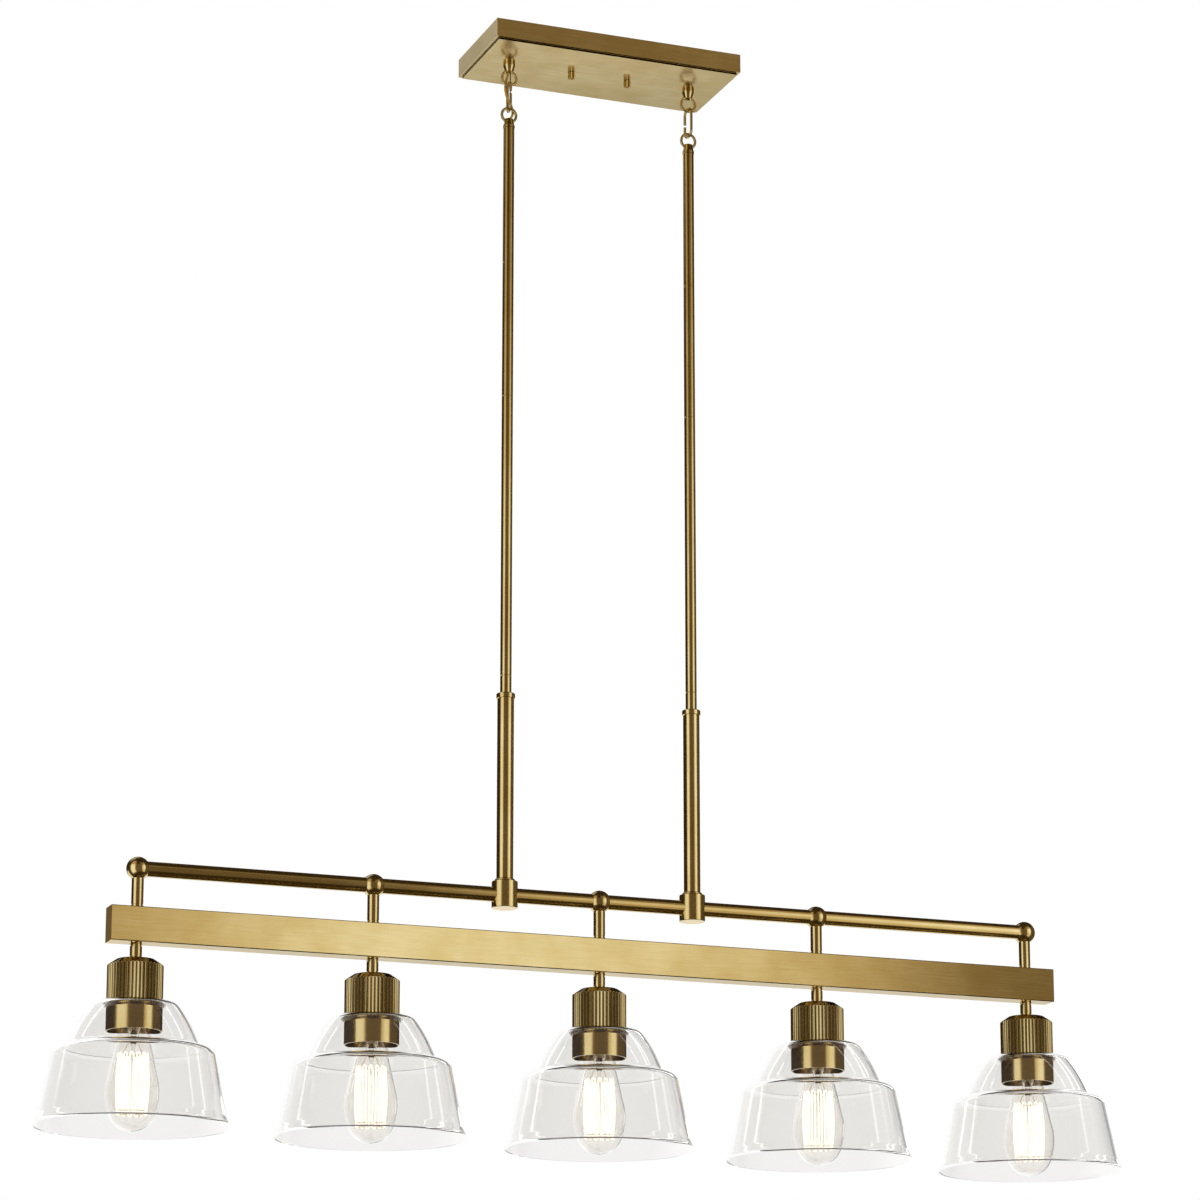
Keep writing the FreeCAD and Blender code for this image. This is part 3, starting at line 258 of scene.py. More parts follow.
@dataclass(frozen=True)
class Mottled:
    """Finish whose colour wanders between two tones: plastic, plated steel or hot wire."""

    name: str
    tone: str
    shade: str
    mottle_mm: float
    sockets: dict[str, Any]  # the shader's other values
    pattern: Pattern = Pattern.CLOUDS
    detail: float = 4.0
    coloured: str = "Base Color"
    bump: float = 0.0
    bump_mm: float = 0.1

    def material(self) -> Material:
        """Build the finish: the pattern gives its tone, and its skin where it has relief.

        Returns:
            The material.
        """
        material, tree = blank_material(self.name)
        place = add_node(tree, "TexCoord").outputs["Object"]
        kind, output = self.pattern.value
        mottle = add_node(tree, kind, {
            "Vector": place, "Scale": 1 / (self.mottle_mm * MM), "Detail": self.detail,
        }).outputs[output]
        mixed = add_node(
            tree, "Mix", {"Factor": mottle, 6: self.tone, 7: self.shade}, data_type="RGBA")
        sockets = {self.coloured: mixed.outputs[2], **self.sockets}
        if self.bump:
            sockets["Normal"] = add_node(tree, "Bump", {
                "Height": mottle, "Strength": self.bump, "Distance": self.bump_mm * MM})
        close_material(tree, add_node(tree, "BsdfPrincipled", sockets))
        return material


class Finish(Enum):
    """All finishes of the fixture, each a material that is built once."""

    # Turned, with fine lathe marks round the axis: soft highlights that wrap balls and nozzles.
    BRASS = SatinBrass("turned_brass_satin", 0.18, Grain.ROUND_Z)
    # Drawn and brushed along its length: one long line of light down each stem.
    TUBE_BRASS = SatinBrass("drawn_brass_tube", 0.17, Grain.ALONG_Z)
    RAIL_BRASS = SatinBrass("drawn_brass_rail", 0.17, Grain.ALONG_X)
    # Brushed flat: its sheen fades slowly from one end of the long face to the other.
    BAR_BRASS = SatinBrass("brushed_brass_bar", 0.17, Grain.ALONG_X)
    # Pressed sheet: duller than the tubes, with painted shade where the plate steps down from the
    # lip.
    CANOPY_BRASS = SatinBrass(
        "brushed_brass_canopy", 0.24, Grain.ALONG_X, painted_shade_step=(-24.2, -22.1))
    # Painted shade in the flutes: bright crests over brown hollows.
    FLUTED_BRASS = SatinBrass("fluted_brass_painted_shade", 0.18, Grain.ALONG_Z, painted_shade="painted_flute_shade")
    # Blown clear glass: nearly colourless, shown by its edges and by streaks of light.
    GLASS = ClearGlass("blown_clear_glass", "#FAF9F7", 60.0, 0.03)
    # Thin lamp glass: clearer still, with faint ripples.
    BULB_GLASS = ClearGlass("lamp_envelope_glass", "#FDFCFA", 30.0, 0.01)
    # Plated steel above the canopy: cool grey with large crystals.
    ZINC = Mottled(
        "zinc_plated_steel", "#B9BABA", "#9FA1A3", 6.0, {"Metallic": 1.0, "Roughness": 0.38},
        Pattern.SPANGLE, 0.0)
    # Extruded clear vinyl over a gold strand: amber with a wet gloss.
    GOLD_VINYL = Mottled(
        "clear_gold_cord_jacket", "#C79A1E", "#A87B10", 0.8,
        {"Roughness": 0.22, "Transmission Weight": 0.35, "Coat Weight": 0.4}, bump=0.05)
    # Extruded brown vinyl: a thin dark line beside the cord.
    BROWN_VINYL = Mottled(
        "brown_wire_insulation", "#2E1E12", "#3C2818", 0.6, {"Roughness": 0.4}, bump=0.05)
    # Moulded nylon: matt orange caps inside the canopy.
    NYLON = Mottled(
        "moulded_connector_nylon", "#D9772B", "#C9681F", 1.2, {"Roughness": 0.5}, bump=0.05)
    # Lit carbon filament: all but white, a shade warmer than the room.
    HOT_WIRE = Mottled(
        "lit_carbon_filament", "#FFFAF0", "#FFF4E0", 9.0,
        {"Base Color": "#3A2A1C", "Roughness": 0.6, "Emission Strength": 1.55},
        detail=1.0, coloured="Emission Color")
    # Support and lead wires with a painted glow: their emission stands for the filament's light on
    # them, dim gold.
    SUPPORT_WIRE_PAINTED_GLOW = Mottled(
        "support_wire_painted_glow", "#F2D9A8", "#DDB983", 9.0,
        {"Base Color": "#3A2A1C", "Roughness": 0.6, "Emission Strength": 0.6},
        detail=1.0, coloured="Emission Color")

    @cache
    def material(self) -> Material:
        """The finish's material."""
        return self.value.material()


# ---- surfaces ----
def grid_faces(rows: int, columns: int, closed: bool) -> Faces:
    """Quads of a grid whose point (i, j) has the number i * columns + j, closed round j.

    Args:
        rows: number of rows.
        columns: number of columns.
        closed: whether the last row joins the first.

    Returns:
        Faces as tuples of four point numbers.
    """
    a, b = np.meshgrid(np.arange(rows if closed else rows - 1), np.arange(columns), indexing="ij")
    below, beside = (a + 1) % rows, (b + 1) % columns
    quads = np.stack([a * columns + b, a * columns + beside, below * columns + beside,
                      below * columns + b], axis=-1)
    return [tuple(q) for q in quads.reshape(-1, 4).tolist()]


def lathe(r: Points, z: Points, segments: int, x: float, closed: bool = True) -> Shape:
    """Turn a profile round a vertical axis: (x + r cos a, r sin a, z).

    Args:
        r: radii, a row for each point of the profile, with one value or one for each column.
        z: heights of the profile's points.
        segments: number of columns round the axis.
        x: where the axis stands.
        closed: whether the profile's last point joins its first.

    Returns:
        Points and faces.
    """
    angle = np.linspace(0, 2 * np.pi, segments, endpoint=False)
    grid = np.stack(
        np.broadcast_arrays(x + r * np.cos(angle), r * np.sin(angle), z[:, None]), axis=-1)
    return grid.reshape(-1, 3), grid_faces(len(z), segments, closed)


def tube(path: Points, radius: float, sides: int) -> Shape:
    """Carry a circle along a path, in the plane square to it, with flat ends.

    Args:
        path: rows of (x, y, z).
        radius: the circle's radius.
        sides: points round the circle.

    Returns:
        Points and faces.
    """
    ahead = np.gradient(path, axis=0)
    ahead /= np.linalg.norm(ahead, axis=1, keepdims=True)
    across = np.empty_like(ahead)
    aside = (0.31, 0.87, 0.12)  # any direction that no path starts along
    across[0] = np.cross(ahead[0], aside)
    for k in range(1, len(path)):
        across[k] = across[k - 1] - ahead[k] * (across[k - 1] @ ahead[k])
        across[k] /= np.linalg.norm(across[k])
    across[0] /= np.linalg.norm(across[0])
    third = np.cross(ahead, across)
    angle = np.linspace(0, 2 * np.pi, sides, endpoint=False)[None, :, None]
    rings = path[:, None] + radius * (
        across[:, None] * np.cos(angle) + third[:, None] * np.sin(angle))
    faces = grid_faces(len(path), sides, False)
    last = (len(path) - 1) * sides
    faces += [tuple(range(sides)), tuple(last + k for k in reversed(range(sides)))]
    return rings.reshape(-1, 3), faces


def joined(parts: list[Shape]) -> Shape:
    """Put several surfaces into one set of points and faces.

    Args:
        parts: the surfaces.

    Returns:
        Points and faces.
    """
    points, faces, count = [], [], 0
    for some_points, some_faces in parts:
        points.append(some_points)
        faces += [tuple(k + count for k in face) for face in some_faces]
        count += len(some_points)
    return np.concatenate(points), faces


def make_piece(name: str, shape: Shape, material: Material, crease_deg: float = 40.0) -> Object:
    """Make a mesh object at the origin with closed seams and outward faces.

    Args:
        name: the piece's name.
        shape: points and faces.
        material: its finish.
        crease_deg: edges sharper than this stay sharp.

    Returns:
        The object, linked to the scene.
    """
    mesh = bpy.data.meshes.new(name)
    mesh.from_pydata(shape[0].tolist(), [], shape[1])
    work = bmesh.new()
    work.from_mesh(mesh)
    bmesh.ops.remove_doubles(work, verts=work.verts, dist=1e-7)
    bmesh.ops.dissolve_degenerate(work, edges=work.edges, dist=1e-8)
    bmesh.ops.recalc_face_normals(work, faces=work.faces)
    work.to_mesh(mesh)
    work.free()
    mesh.shade_smooth()
    mesh.set_sharp_from_angle(angle=math.radians(crease_deg))
    mesh.materials.append(material)
    piece = bpy.data.objects.new(name, mesh)
    bpy.context.scene.collection.objects.link(piece)
    return piece


def arc_through(start: Pair, middle: Pair, end: Pair, count: int) -> Points:
    """Points along the circle through three points, from start to end.

    The centre is where the perpendicular bisectors of the two chords meet.

    Args:
        start: first point, (r, z).
        middle: a point on the way.
        end: last point.
        count: number of points.

    Returns:
        Rows of (r, z).
    """
    start, middle, end = np.array(start), np.array(middle), np.array(end)
    rows = 2 * np.array([middle - start, end - middle])
    sums = np.array([middle @ middle - start @ start, end @ end - middle @ middle])
    centre = np.linalg.solve(rows, sums)
    a, m, b = (math.atan2(*(p - centre)[::-1]) for p in (start, middle, end))
    turn, part = (b - a) % (2 * np.pi), (m - a) % (2 * np.pi)
    if part > turn:
        turn -= 2 * np.pi
    angle = a + turn * np.linspace(0, 1, count)
    radius = np.linalg.norm(start - centre)
    return centre + radius * np.stack([np.cos(angle), np.sin(angle)], axis=1)


def even_spacing(path: Points, step: float, closed: bool) -> Points:
    """Place points along a profile at equal distances.

    Args:
        path: rows of (r, z).
        step: about how far apart they come.
        closed: whether the profile runs back to its first point.

    Returns:
        The new rows.
    """
    line = np.vstack([path, path[:1]]) if closed else path
    along = np.r_[0, np.cumsum(np.linalg.norm(np.diff(line, axis=0), axis=1))]
    at = np.linspace(0, along[-1], int(along[-1] / step), endpoint=not closed)
    return np.stack([np.interp(at, along, line[:, k]) for k in (0, 1)], axis=1)


def set_inward(outer: Points, wall: float) -> Points:
    """Move a profile that runs downwards one wall thickness towards its axis.

    Args:
        outer: rows of (r, z), from the top down.
        wall: the wall's thickness.

    Returns:
        Rows of (r, z), each outer point moved square to the profile.
    """
    ahead = np.gradient(outer, axis=0)
    ahead /= np.linalg.norm(ahead, axis=1, keepdims=True)
    return outer + wall * np.stack([ahead[:, 1], -ahead[:, 0]], axis=1)


def softened(loop: Points) -> Points:
    """Round the corners of a closed loop by a running mean over three points.

    Args:
        loop: rows of (r, z).

    Returns:
        The rounded loop.
    """
    padded = np.vstack([loop[-1:], loop, loop[:1]])
    third = np.full(3, 1 / 3)
    return np.stack([np.convolve(padded[:, k], third, "valid") for k in (0, 1)], axis=1)


# ---- lamps ----
@dataclass
class LampPart:
    """What the pieces of one lamp share; the sizes of such a piece are in millimetres."""

    number: int  # counted from the left
    x: float  # where the lamp's axis stands, in metres

    def turned(self, profile: Points, foot: float, segments: int, closed: bool = True) -> Shape:
        """Turn a profile round the lamp's axis.

        Args:
            profile: rows of (r, z).
            foot: height in the frame of the profile's zero.
            segments: number of columns.
            closed: whether the profile's last point joins its first.

        Returns:
            Points and faces.
        """
        r, z = (profile * MM + np.array([0, foot * MM])).T
        return lathe(r[:, None], z, segments, self.x, closed)


@dataclass
class GlassShade(LampPart):
    """Stepped bell of clear glass: heights from the rim."""

    rim_z: float = -1284.0
    hole_r: float = 20.8
    height: float = 132.2
    neck: float = 6.0
    wall: float = 3.0
    neck_flat_r: float = 31.0
    neck_fillet: float = 2.5  # how far outside the flat the wall's inside takes over
    crown: Pair = (38.0, 132.2)
    turn: Pair = (44.55, 131.1)
    upper_top: Pair = (48.7, 127.5)
    upper_mid: Pair = (61.0, 108.0)
    upper_end: Pair = (69.8, 87.4)
    shelf_in: Pair = (72.9, 83.8)
    shelf_out: Pair = (79.0, 83.8)
    shoulder: Pair = (85.0, 80.9)
    lower_top: Pair = (87.7, 74.5)
    lower_end: Pair = (100.3, 11.0)
    flare: Pair = (103.2, 4.5)
    lip: Pair = (104.9, 1.8)
    lip_breaks: Pair = (0.5, 0.6)  # rounding of the lip's foot, outside and inside
    inside_low: float = 0.3  # height where the inside ends above the lip's foot
    segments: int = 144
    step: float = 0.75

    def profile(self) -> Points:
        """Closed profile: the outside, a rounded lip, and the inside one wall thickness in.

        Returns:
            Rows of (r, z).
        """
        outer = even_spacing(np.vstack([
            [(self.hole_r, self.height)],
            arc_through(self.crown, self.turn, self.upper_top, 12),
            arc_through(self.upper_top, self.upper_mid, self.upper_end, 20)[1:],
            [self.shelf_in, self.shelf_out],
            arc_through(self.shelf_out, self.shoulder, self.lower_top, 12)[1:],
            [self.lower_end, self.flare, self.lip],
        ]), self.step, False)
        inner = set_inward(outer, self.wall)
        below_neck = inner[:, 0] > self.neck_flat_r + self.neck_fillet
        inner = inner[below_neck & (inner[:, 1] > self.inside_low)]
        neck_floor = self.height - self.neck
        foot_out, foot_in = self.lip_breaks
        loop = np.vstack([
            outer,
            [(self.lip[0] - foot_out, 0.0), (self.lip[0] - self.wall + foot_in, 0.0)],
            inner[::-1],
            [(self.neck_flat_r, neck_floor), (self.hole_r, neck_floor)],
        ])
        return softened(even_spacing(loop, self.step, True))

    def build(self) -> None:
        """Make one shade and let it ride with its retaining cup."""
        shape = self.turned(self.profile(), self.rim_z, self.segments)
        piece = make_piece(f"glass_bell_{self.number}", shape, Finish.GLASS.material(), 60)
        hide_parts(f"shade_{self.number}")
        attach(piece, f"glass_{self.number}")
        piece.visible_glossy = False  # the brass inside it mirrors the room, not the clear wall
        LOG.info("glass bell %d: %d points", self.number, len(piece.data.vertices))


@dataclass
class FilamentBulb(LampPart):
    """Long teardrop bulb with a caged filament: heights from the tip."""

    tip_z: float = -1290.4
    length: float = 145.3
    base_r: float = 13.0
    base_low: float = 118.1
    base_top: float = 141.1
    base_inside: Pair = (12.4, 124.4)
    contact_r: float = 4.5
    cone: float = 3.4
    thread_pitch: float = 3.6
    thread_depth: float = 0.8
    thread_fade: float = 3.0  # height over which the thread runs out at each end
    base_grid: tuple[int, int] = (60, 48)  # rows of the thread, columns round the base
    wall: float = 1.0
    step: float = 1.5
    neck_top: Pair = (12.1, 124.1)
    neck_end: Pair = (12.1, 117.8)
    flare: Pair = (15.0, 110.0)
    hip: Pair = (28.4, 52.0)
    belly: Pair = (29.0, 41.0)
    round_top: Pair = (24.5, 17.5)
    round_mid: Pair = (15.25, 5.95)
    round_end: Pair = (3.2, 1.6)
    pip_inside: Pair = (0.8, 0.3)  # radius where the inside closes, and how much higher its pole is
    cage_r: float = 16.5
    cage_top: float = 82.0
    cage_low: float = 21.0
    cage_ends: float = 0.94  # radius of the cage's two ends, as a share of cage_r
    cage_bow: float = 0.1  # how far a strand bows out, as a share of cage_r
    cage_lean: float = 0.4  # how far a strand bows sideways, in half strand spacings
    bend_rise: float = 1.6
    strands: int = 28
    strand_r: float = 0.95
    glass_stem: tuple[Pair, ...] = (
        (0, 117.0), (9.5, 117.0), (8.5, 112.0), (5.0, 104.0), (3.0, 98.0), (2.6, 92.0),
        (1.6, 88.0), (1.6, 84.0), (2.6, 82.5), (2.6, 80.5), (1.4, 79.0), (1.4, 24.0),
        (2.4, 22.0), (2.4, 20.0), (0, 18.6),
    )
    knobs: Pair = (81.5, 21.0)  # heights where the support wires leave the glass stem
    support_from: float = 1.5
    support_rise: float = 1.8
    support_r: float = 0.2
    lead_start: Pair = (4.5, 104.0)
    lead_reach: Place = (7.5, 1.5, 22.0)  # outwards, backwards and down
    lead_r: float = 0.35

    def envelope_profile(self) -> Points:
        """Closed profile of the thin glass: neck, flare, straight side, round end and tip.

        Returns:
            Rows of (r, z).
        """
        outer = even_spacing(np.vstack([
            [self.neck_top, self.neck_end, self.flare, self.hip],
            arc_through(self.hip, self.belly, self.round_top, 14)[1:],
            arc_through(self.round_top, self.round_mid, self.round_end, 14)[1:],
            [(0.0, 0.0)],
        ]), self.step, False)
        inner = set_inward(outer, self.wall)
        inner = inner[inner[:, 0] > self.pip_inside[0]]
        return np.vstack([outer, [(0.0, inner[-1, 1] + self.pip_inside[1])], inner[::-1]])

    def base_shape(self) -> Shape:
        """Screw shell: radius base_r - depth/2 * (1 - cos(2 pi z / pitch - a)), cone and contact.

        Returns:
            Points and faces.
        """
        rows, columns = self.base_grid
        z = np.linspace(self.base_low, self.base_top, rows)
        angle = np.linspace(0, 2 * np.pi, columns, endpoint=False)
        from_ends = np.minimum(z - self.base_low, self.base_top - z)
        fade = np.clip(from_ends / self.thread_fade, 0, 1)[:, None]
        wave = 1 - np.cos(2 * np.pi * z[:, None] / self.thread_pitch - angle)
        thread = self.base_r - fade * self.thread_depth / 2 * wave
        inside_r, inside_z = self.base_inside
        flat = np.ones((1, columns))
        radii = np.vstack([
            np.array([[0.0], [inside_r], [inside_r]]) * flat, thread,
            np.array([[self.contact_r], [self.contact_r], [0.0]]) * flat])
        heights = np.r_[
            inside_z, inside_z, self.base_low, z, self.base_top + self.cone, self.length,
            self.length]
        return lathe(radii * MM, (heights + self.tip_z) * MM, columns, self.x, False)

    def strand_path(self, share: float) -> Points:
        """One run of the filament from the top ring to the bottom ring, a little bowed.

        Args:
            share: where on the circle it hangs, from 0 to 1.

        Returns:
            Rows of (x, y, z) about the bulb's axis, in millimetres.
        """
        t = np.linspace(0, 1, 9)
        angle = 2 * np.pi * (share + 0.5 / self.strands * np.sin(np.pi * t) * self.cage_lean)
        r = self.cage_r * (self.cage_ends + self.cage_bow * np.sin(np.pi * t))
        z = self.cage_top + (self.cage_low - self.cage_top) * t
        return np.stack([r * np.cos(angle), r * np.sin(angle), z], axis=1)

    def wires(self, paths: list[Points], radius: float, sides: int) -> Shape:
        """Round wires along paths that are given about the bulb's axis, from its tip.

        Args:
            paths: rows of (x, y, z) for each wire, in millimetres.
            radius: the wires' radius.
            sides: points round a wire.

        Returns:
            Points and faces of them all.
        """
        tip = np.array([self.x, 0, self.tip_z * MM])
        return joined([tube(path * MM + tip, radius * MM, sides) for path in paths])

    def cage_shape(self) -> Shape:
        """All runs of the filament, joined in pairs by short bends at top and bottom.

        Returns:
            Points and faces.
        """
        paths = []
        r = self.cage_r * self.cage_ends
        for k in range(self.strands):
            paths.append(self.strand_path(k / self.strands))
            z, way = (self.cage_low, -1) if k % 2 == 0 else (self.cage_top, 1)
            span = 2 * np.pi * (k + np.linspace(0, 1, 6)) / self.strands
            dip = way * self.bend_rise * np.sin(np.linspace(0, np.pi, 6))
            paths.append(np.stack([r * np.cos(span), r * np.sin(span), z + dip], axis=1))
        return self.wires(paths, self.strand_r, 6)

    def spider_shape(self) -> Shape:
        """Support wires from the glass stem's two knobs to the cage, and the two lead wires.

        A support rises or falls as a quarter sine; a lead runs out as the square of its way down.

        Returns:
            Points and faces.
        """
        t = np.linspace(0, 1, 7)
        r = self.support_from + (self.cage_r * self.cage_ends - self.support_from) * t
        rise = self.support_rise * np.sin(np.pi * t / 2)
        supports = []
        for k in range(self.strands // 2):
            for z, half in ((self.knobs[0] + rise, 0.0), (self.knobs[1] - rise, 0.5)):
                angle = 2 * np.pi * (2 * k + half + 0.5) / self.strands
                supports.append(np.stack([r * np.cos(angle), r * np.sin(angle), z], axis=1))
        (start_r, start_z), (out, back, down) = self.lead_start, self.lead_reach
        leads = [
            np.stack([side * (start_r + out * t**2), back * t, start_z - down * t], axis=1)
            for side in (-1, 1)]
        return joined([
            self.wires(supports, self.support_r, 5), self.wires(leads, self.lead_r, 6)])

    def build(self) -> None:
        """Make the glass, base, filament, stem and supports of one bulb."""
        envelope = self.turned(self.envelope_profile(), self.tip_z, 64)
        stem = self.turned(np.array(self.glass_stem), self.tip_z, 24, False)
        made = [
            make_piece(f"bulb_{part}_{self.number}", shape, finish.material(), crease)
            for part, shape, finish, crease in (
                ("envelope", envelope, Finish.BULB_GLASS, 60),
                ("base", self.base_shape(), Finish.BRASS, 50),
                ("filament", self.cage_shape(), Finish.HOT_WIRE, 60),
                ("stem", stem, Finish.BULB_GLASS, 50),
                ("supports", self.spider_shape(), Finish.SUPPORT_WIRE_PAINTED_GLOW, 60),
            )]
        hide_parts(f"bulb_{self.number}")
        for piece in made:
            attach(piece, f"lamp_{self.number}")
        made[0].visible_glossy = False  # as the shade, it isn't mirrored in the brass
        LOG.info("bulb %d: %d pieces", self.number, len(made))


@dataclass
class FlutedCap(LampPart):
    """Brass housing with rounded flutes below a plain cone."""

    top_z: float = -1105.5
    bottom_z: float = -1151.5
    outer_r: float = 30.0
    top_r: float = 20.5
    chamfer: float = 6.5
    cavity_r: float = 25.0
    roof: float = 4.0
    hole_r: float = 4.8
    flutes: int = 44
    depth: float = 1.2
    roundness: float = 0.8  # below 1 a flute is wide and its land narrow
    per_flute: int = 12
    edge_break: float = 0.35
    mouth_break: float = 0.4
    painted_shade: float = 0.92  # how dark the painted shade is at the bottom of a flute
    painted_shade_fall: float = 1.2  # above 1 the painted shade keeps to the bottom of the flute

    def shape(self) -> Shape:
        """Fluted wall, cut by the cone: r = outer_r - depth * s**roundness, s = (1 - cos(n a)) / 2.

        Returns:
            Points and faces.
        """
        columns = self.flutes * self.per_flute
        angle = np.linspace(0, 2 * np.pi, columns, endpoint=False)
        valley = ((1 - np.cos(self.flutes * angle)) / 2) ** self.roundness
        height = self.top_z - self.bottom_z
        shoulder = height - self.chamfer
        z = np.r_[0.0, self.edge_break, np.linspace(2, shoulder - 1.5, 5),
                  np.linspace(shoulder - 1, shoulder + 1.2, 8),
                  np.linspace(shoulder + 1.6, height, 6)]
        slope = self.chamfer / (self.outer_r - self.top_r)
        cone = (self.top_r + (height - z) / slope)[:, None]
        foot = np.where(z < self.edge_break, self.edge_break, 0.0)[:, None]
        wall = np.minimum(self.outer_r - self.depth * valley - foot, cone)
        ceiling = height - self.roof
        rest = np.array([
            (self.hole_r, height), (self.hole_r, ceiling), (self.cavity_r - self.roof, ceiling),
            (self.cavity_r, height - 2 * self.roof), (self.cavity_r, self.mouth_break),
            (self.cavity_r + self.mouth_break, 0.0),
        ])
        radii = np.vstack([wall, rest[:, :1] * np.ones((1, columns))])
        heights = np.r_[z, rest[:, 1]]
        return lathe(radii * MM, (heights + self.bottom_z) * MM, columns, self.x)

    def paint_flute_shade(self, piece: Object) -> None:
        """Painted shade on the fluted wall: (depth below the crests / flute depth) to the power of
        its fall.

        Args:
            piece: the cap.
        """
        mesh = piece.data
        points = np.zeros(len(mesh.vertices) * 3)
        mesh.vertices.foreach_get("co", points)
        foot = np.array([self.x / MM, 0, self.bottom_z])
        across, along, height = (points.reshape(-1, 3) / MM - foot).T
        radius = np.hypot(across, along)
        shoulder = self.top_z - self.bottom_z - self.chamfer
        fluted_wall = (radius > self.cavity_r + 1) & (height < shoulder)
        sunk = np.clip((self.outer_r - radius) / self.depth, 0, 1) ** self.painted_shade_fall
        # The attribute carries the painted shade, darkest at the bottom of each flute.
        painted_flute_shade = mesh.attributes.new("painted_flute_shade", "FLOAT", "POINT")
        painted_flute_shade.data.foreach_set("value", (self.painted_shade * sunk * fluted_wall).astype(np.float32))

    def build(self) -> None:
        """Make one fluted cap, fixed to the bar."""
        piece = make_piece(
            f"fluted_housing_{self.number}", self.shape(), Finish.FLUTED_BRASS.material(), 35)
        self.paint_flute_shade(piece)
        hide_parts(f"fluted_cap_{self.number}")
        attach(piece, "fixture")
        LOG.info("fluted housing %d", self.number)


# ---- supply cord and earth wire ----
@dataclass
class Lead:
    """One length of cord or wire between its two ends, on its route in millimetres."""

    name: str
    node: str
    route: tuple[Place, ...]
    diameter: float
    length: float
    bodies: tuple[str, str]
    bend: Pair  # heights between which it turns from the first body to the second
    finish: Finish
    slot: str

    def line(self) -> Points:
        """Points of the smooth line that has the route's points as its control points.

        Returns:
            Rows of (x, y, z), in metres.
        """
        curve = bpy.data.curves.new(self.name + "_line", "CURVE")
        curve.dimensions = "3D"
        curve.resolution_u = 12
        spline = curve.splines.new("NURBS")
        spline.points.add(len(self.route) - 1)
        route = np.array(self.route) * MM + np.array([-STEM_X, 0, 0])
        for point, place in zip(spline.points, route):
            point.co = (*place, 1.0)
        spline.order_u = 3
        spline.use_endpoint_u = True
        guide = bpy.data.objects.new(self.name + "_line", curve)
        mesh = bpy.data.meshes.new_from_object(guide)
        points = np.zeros(len(mesh.vertices) * 3)
        mesh.vertices.foreach_get("co", points)
        bpy.data.objects.remove(guide)
        bpy.data.meshes.remove(mesh)
        bpy.data.curves.remove(curve)
        return points.reshape(-1, 3)

    def build(self) -> None:
        path = self.line()
        shape = tube(path, self.diameter * MM / 2, 16)
        piece = make_piece(self.name, shape, self.finish.material(), 60)
        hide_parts(self.node)
        start, end = ((-STEM_X, 0.0, height * MM) for height in self.bend)
        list(self.bodies)
        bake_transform(piece)
        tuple(start)
        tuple(end)
        LOG.info("%s: %d points on its line", self.name, len(path))


LEADS = (
    Lead("supply_cord_upper", "cord_upper", (
        (-0.8, 0.1, -31.3), (-0.9, 0.3, -37.3), (-2.2, 2.6, -43.3), (-3.3, 4.3, -49.9),
        (-2.9, 4.4, -57.8), (-1.8, 4.05, -62.25),
    ), 2.7, 31.8, ("canopy", "left_link"), (-45.0, -60.0), Finish.GOLD_VINYL, "cord_jacket"),
    Lead("supply_cord_lower", "cord_lower", (
        (-1.8, 4.05, -62.25), (-0.7, 3.7, -66.7), (2.6, 3.4, -73.7), (5.6, 3.7, -79.3),
        (5.8, 3.0, -85.1), (3.2, 0.9, -90.5), (-0.5, -0.7, -95.5), (-1.0, -0.9, -100.7),
    ), 2.7, 42.2, ("left_link", "fixture"), (-70.0, -90.0), Finish.GOLD_VINYL, "cord_jacket"),
    Lead("earth_wire_run_upper", "earth_wire_upper", (
        (1.7, -0.2, -31.3), (1.6, 0.0, -37.3), (2.2, 1.8, -42.9), (3.0, 3.6, -48.3),
        (3.2, 4.4, -54.7), (3.0, 4.7, -62.0), (3.45, 4.9, -65.75),
    ), 1.2, 35.1, ("canopy", "left_link"), (-45.0, -60.0), Finish.BROWN_VINYL, "earth_wire"),
    Lead("earth_wire_run_lower", "earth_wire_lower", (
        (3.45, 4.9, -65.75), (3.9, 5.1, -69.5), (6.2, 5.6, -75.6), (7.8, 5.9, -81.1),
        (7.2, 5.4, -85.7), (4.5, 4.0, -89.5), (1.5, 2.1, -93.1), (0.9, 1.8, -97.7),
    ), 1.2, 35.0, ("left_link", "fixture"), (-70.0, -90.0), Finish.BROWN_VINYL, "earth_wire"),
)


# ---- CAD nodes that stay ----
FINISHED_NODES = {
    Finish.ZINC: ("box_strap", "canopy_strap", "strap_screws", "loop_locknuts", "stem_couplings"),
    Finish.NYLON: ("wire_connectors",),
    Finish.BAR_BRASS: ("cross_bar", "bar_end_caps"),
    Finish.CANOPY_BRASS: ("canopy_shell",),
    Finish.RAIL_BRASS: ("rail_tubes",),
    Finish.TUBE_BRASS: (
        "upper_stems", "middle_stems", "lower_stems", "base_stems", "sleeve_left",
        "sleeve_right", "bar_posts", "socket_drops"),
}


@dataclass
class Metalwork:
    """The CAD nodes that keep their shape, each dressed in its finish."""

    nodes: dict[str, Object]

    def build(self) -> None:
        """Give every shown CAD node its finish: turned brass where no other is named."""
        named = {node: finish for finish, nodes in FINISHED_NODES.items() for node in nodes}
        shown = {name: node for name, node in self.nodes.items() if not node.hide_render}
        for name, node in shown.items():
            node.data.materials.clear()
            node.data.materials.append(named.get(name, Finish.BRASS).material())
        LOG.info("dressed %d nodes", len(shown))


# ---- studio ----
# A shaded lamp on a cream wall, from dark through brown and gold to white: the level of its
# light, which is its red, and the green and the blue that go with it.
AMBER_LEVELS = (0.0, 0.22, 0.45, 0.57, 0.71, 1.0, 10.0)
AMBER_GREENS = (0.0, 0.164, 0.335, 0.46, 0.62, 1.0, 10.0)
AMBER_BLUES = (0.0, 0.094, 0.20, 0.28, 0.44, 1.0, 10.0)


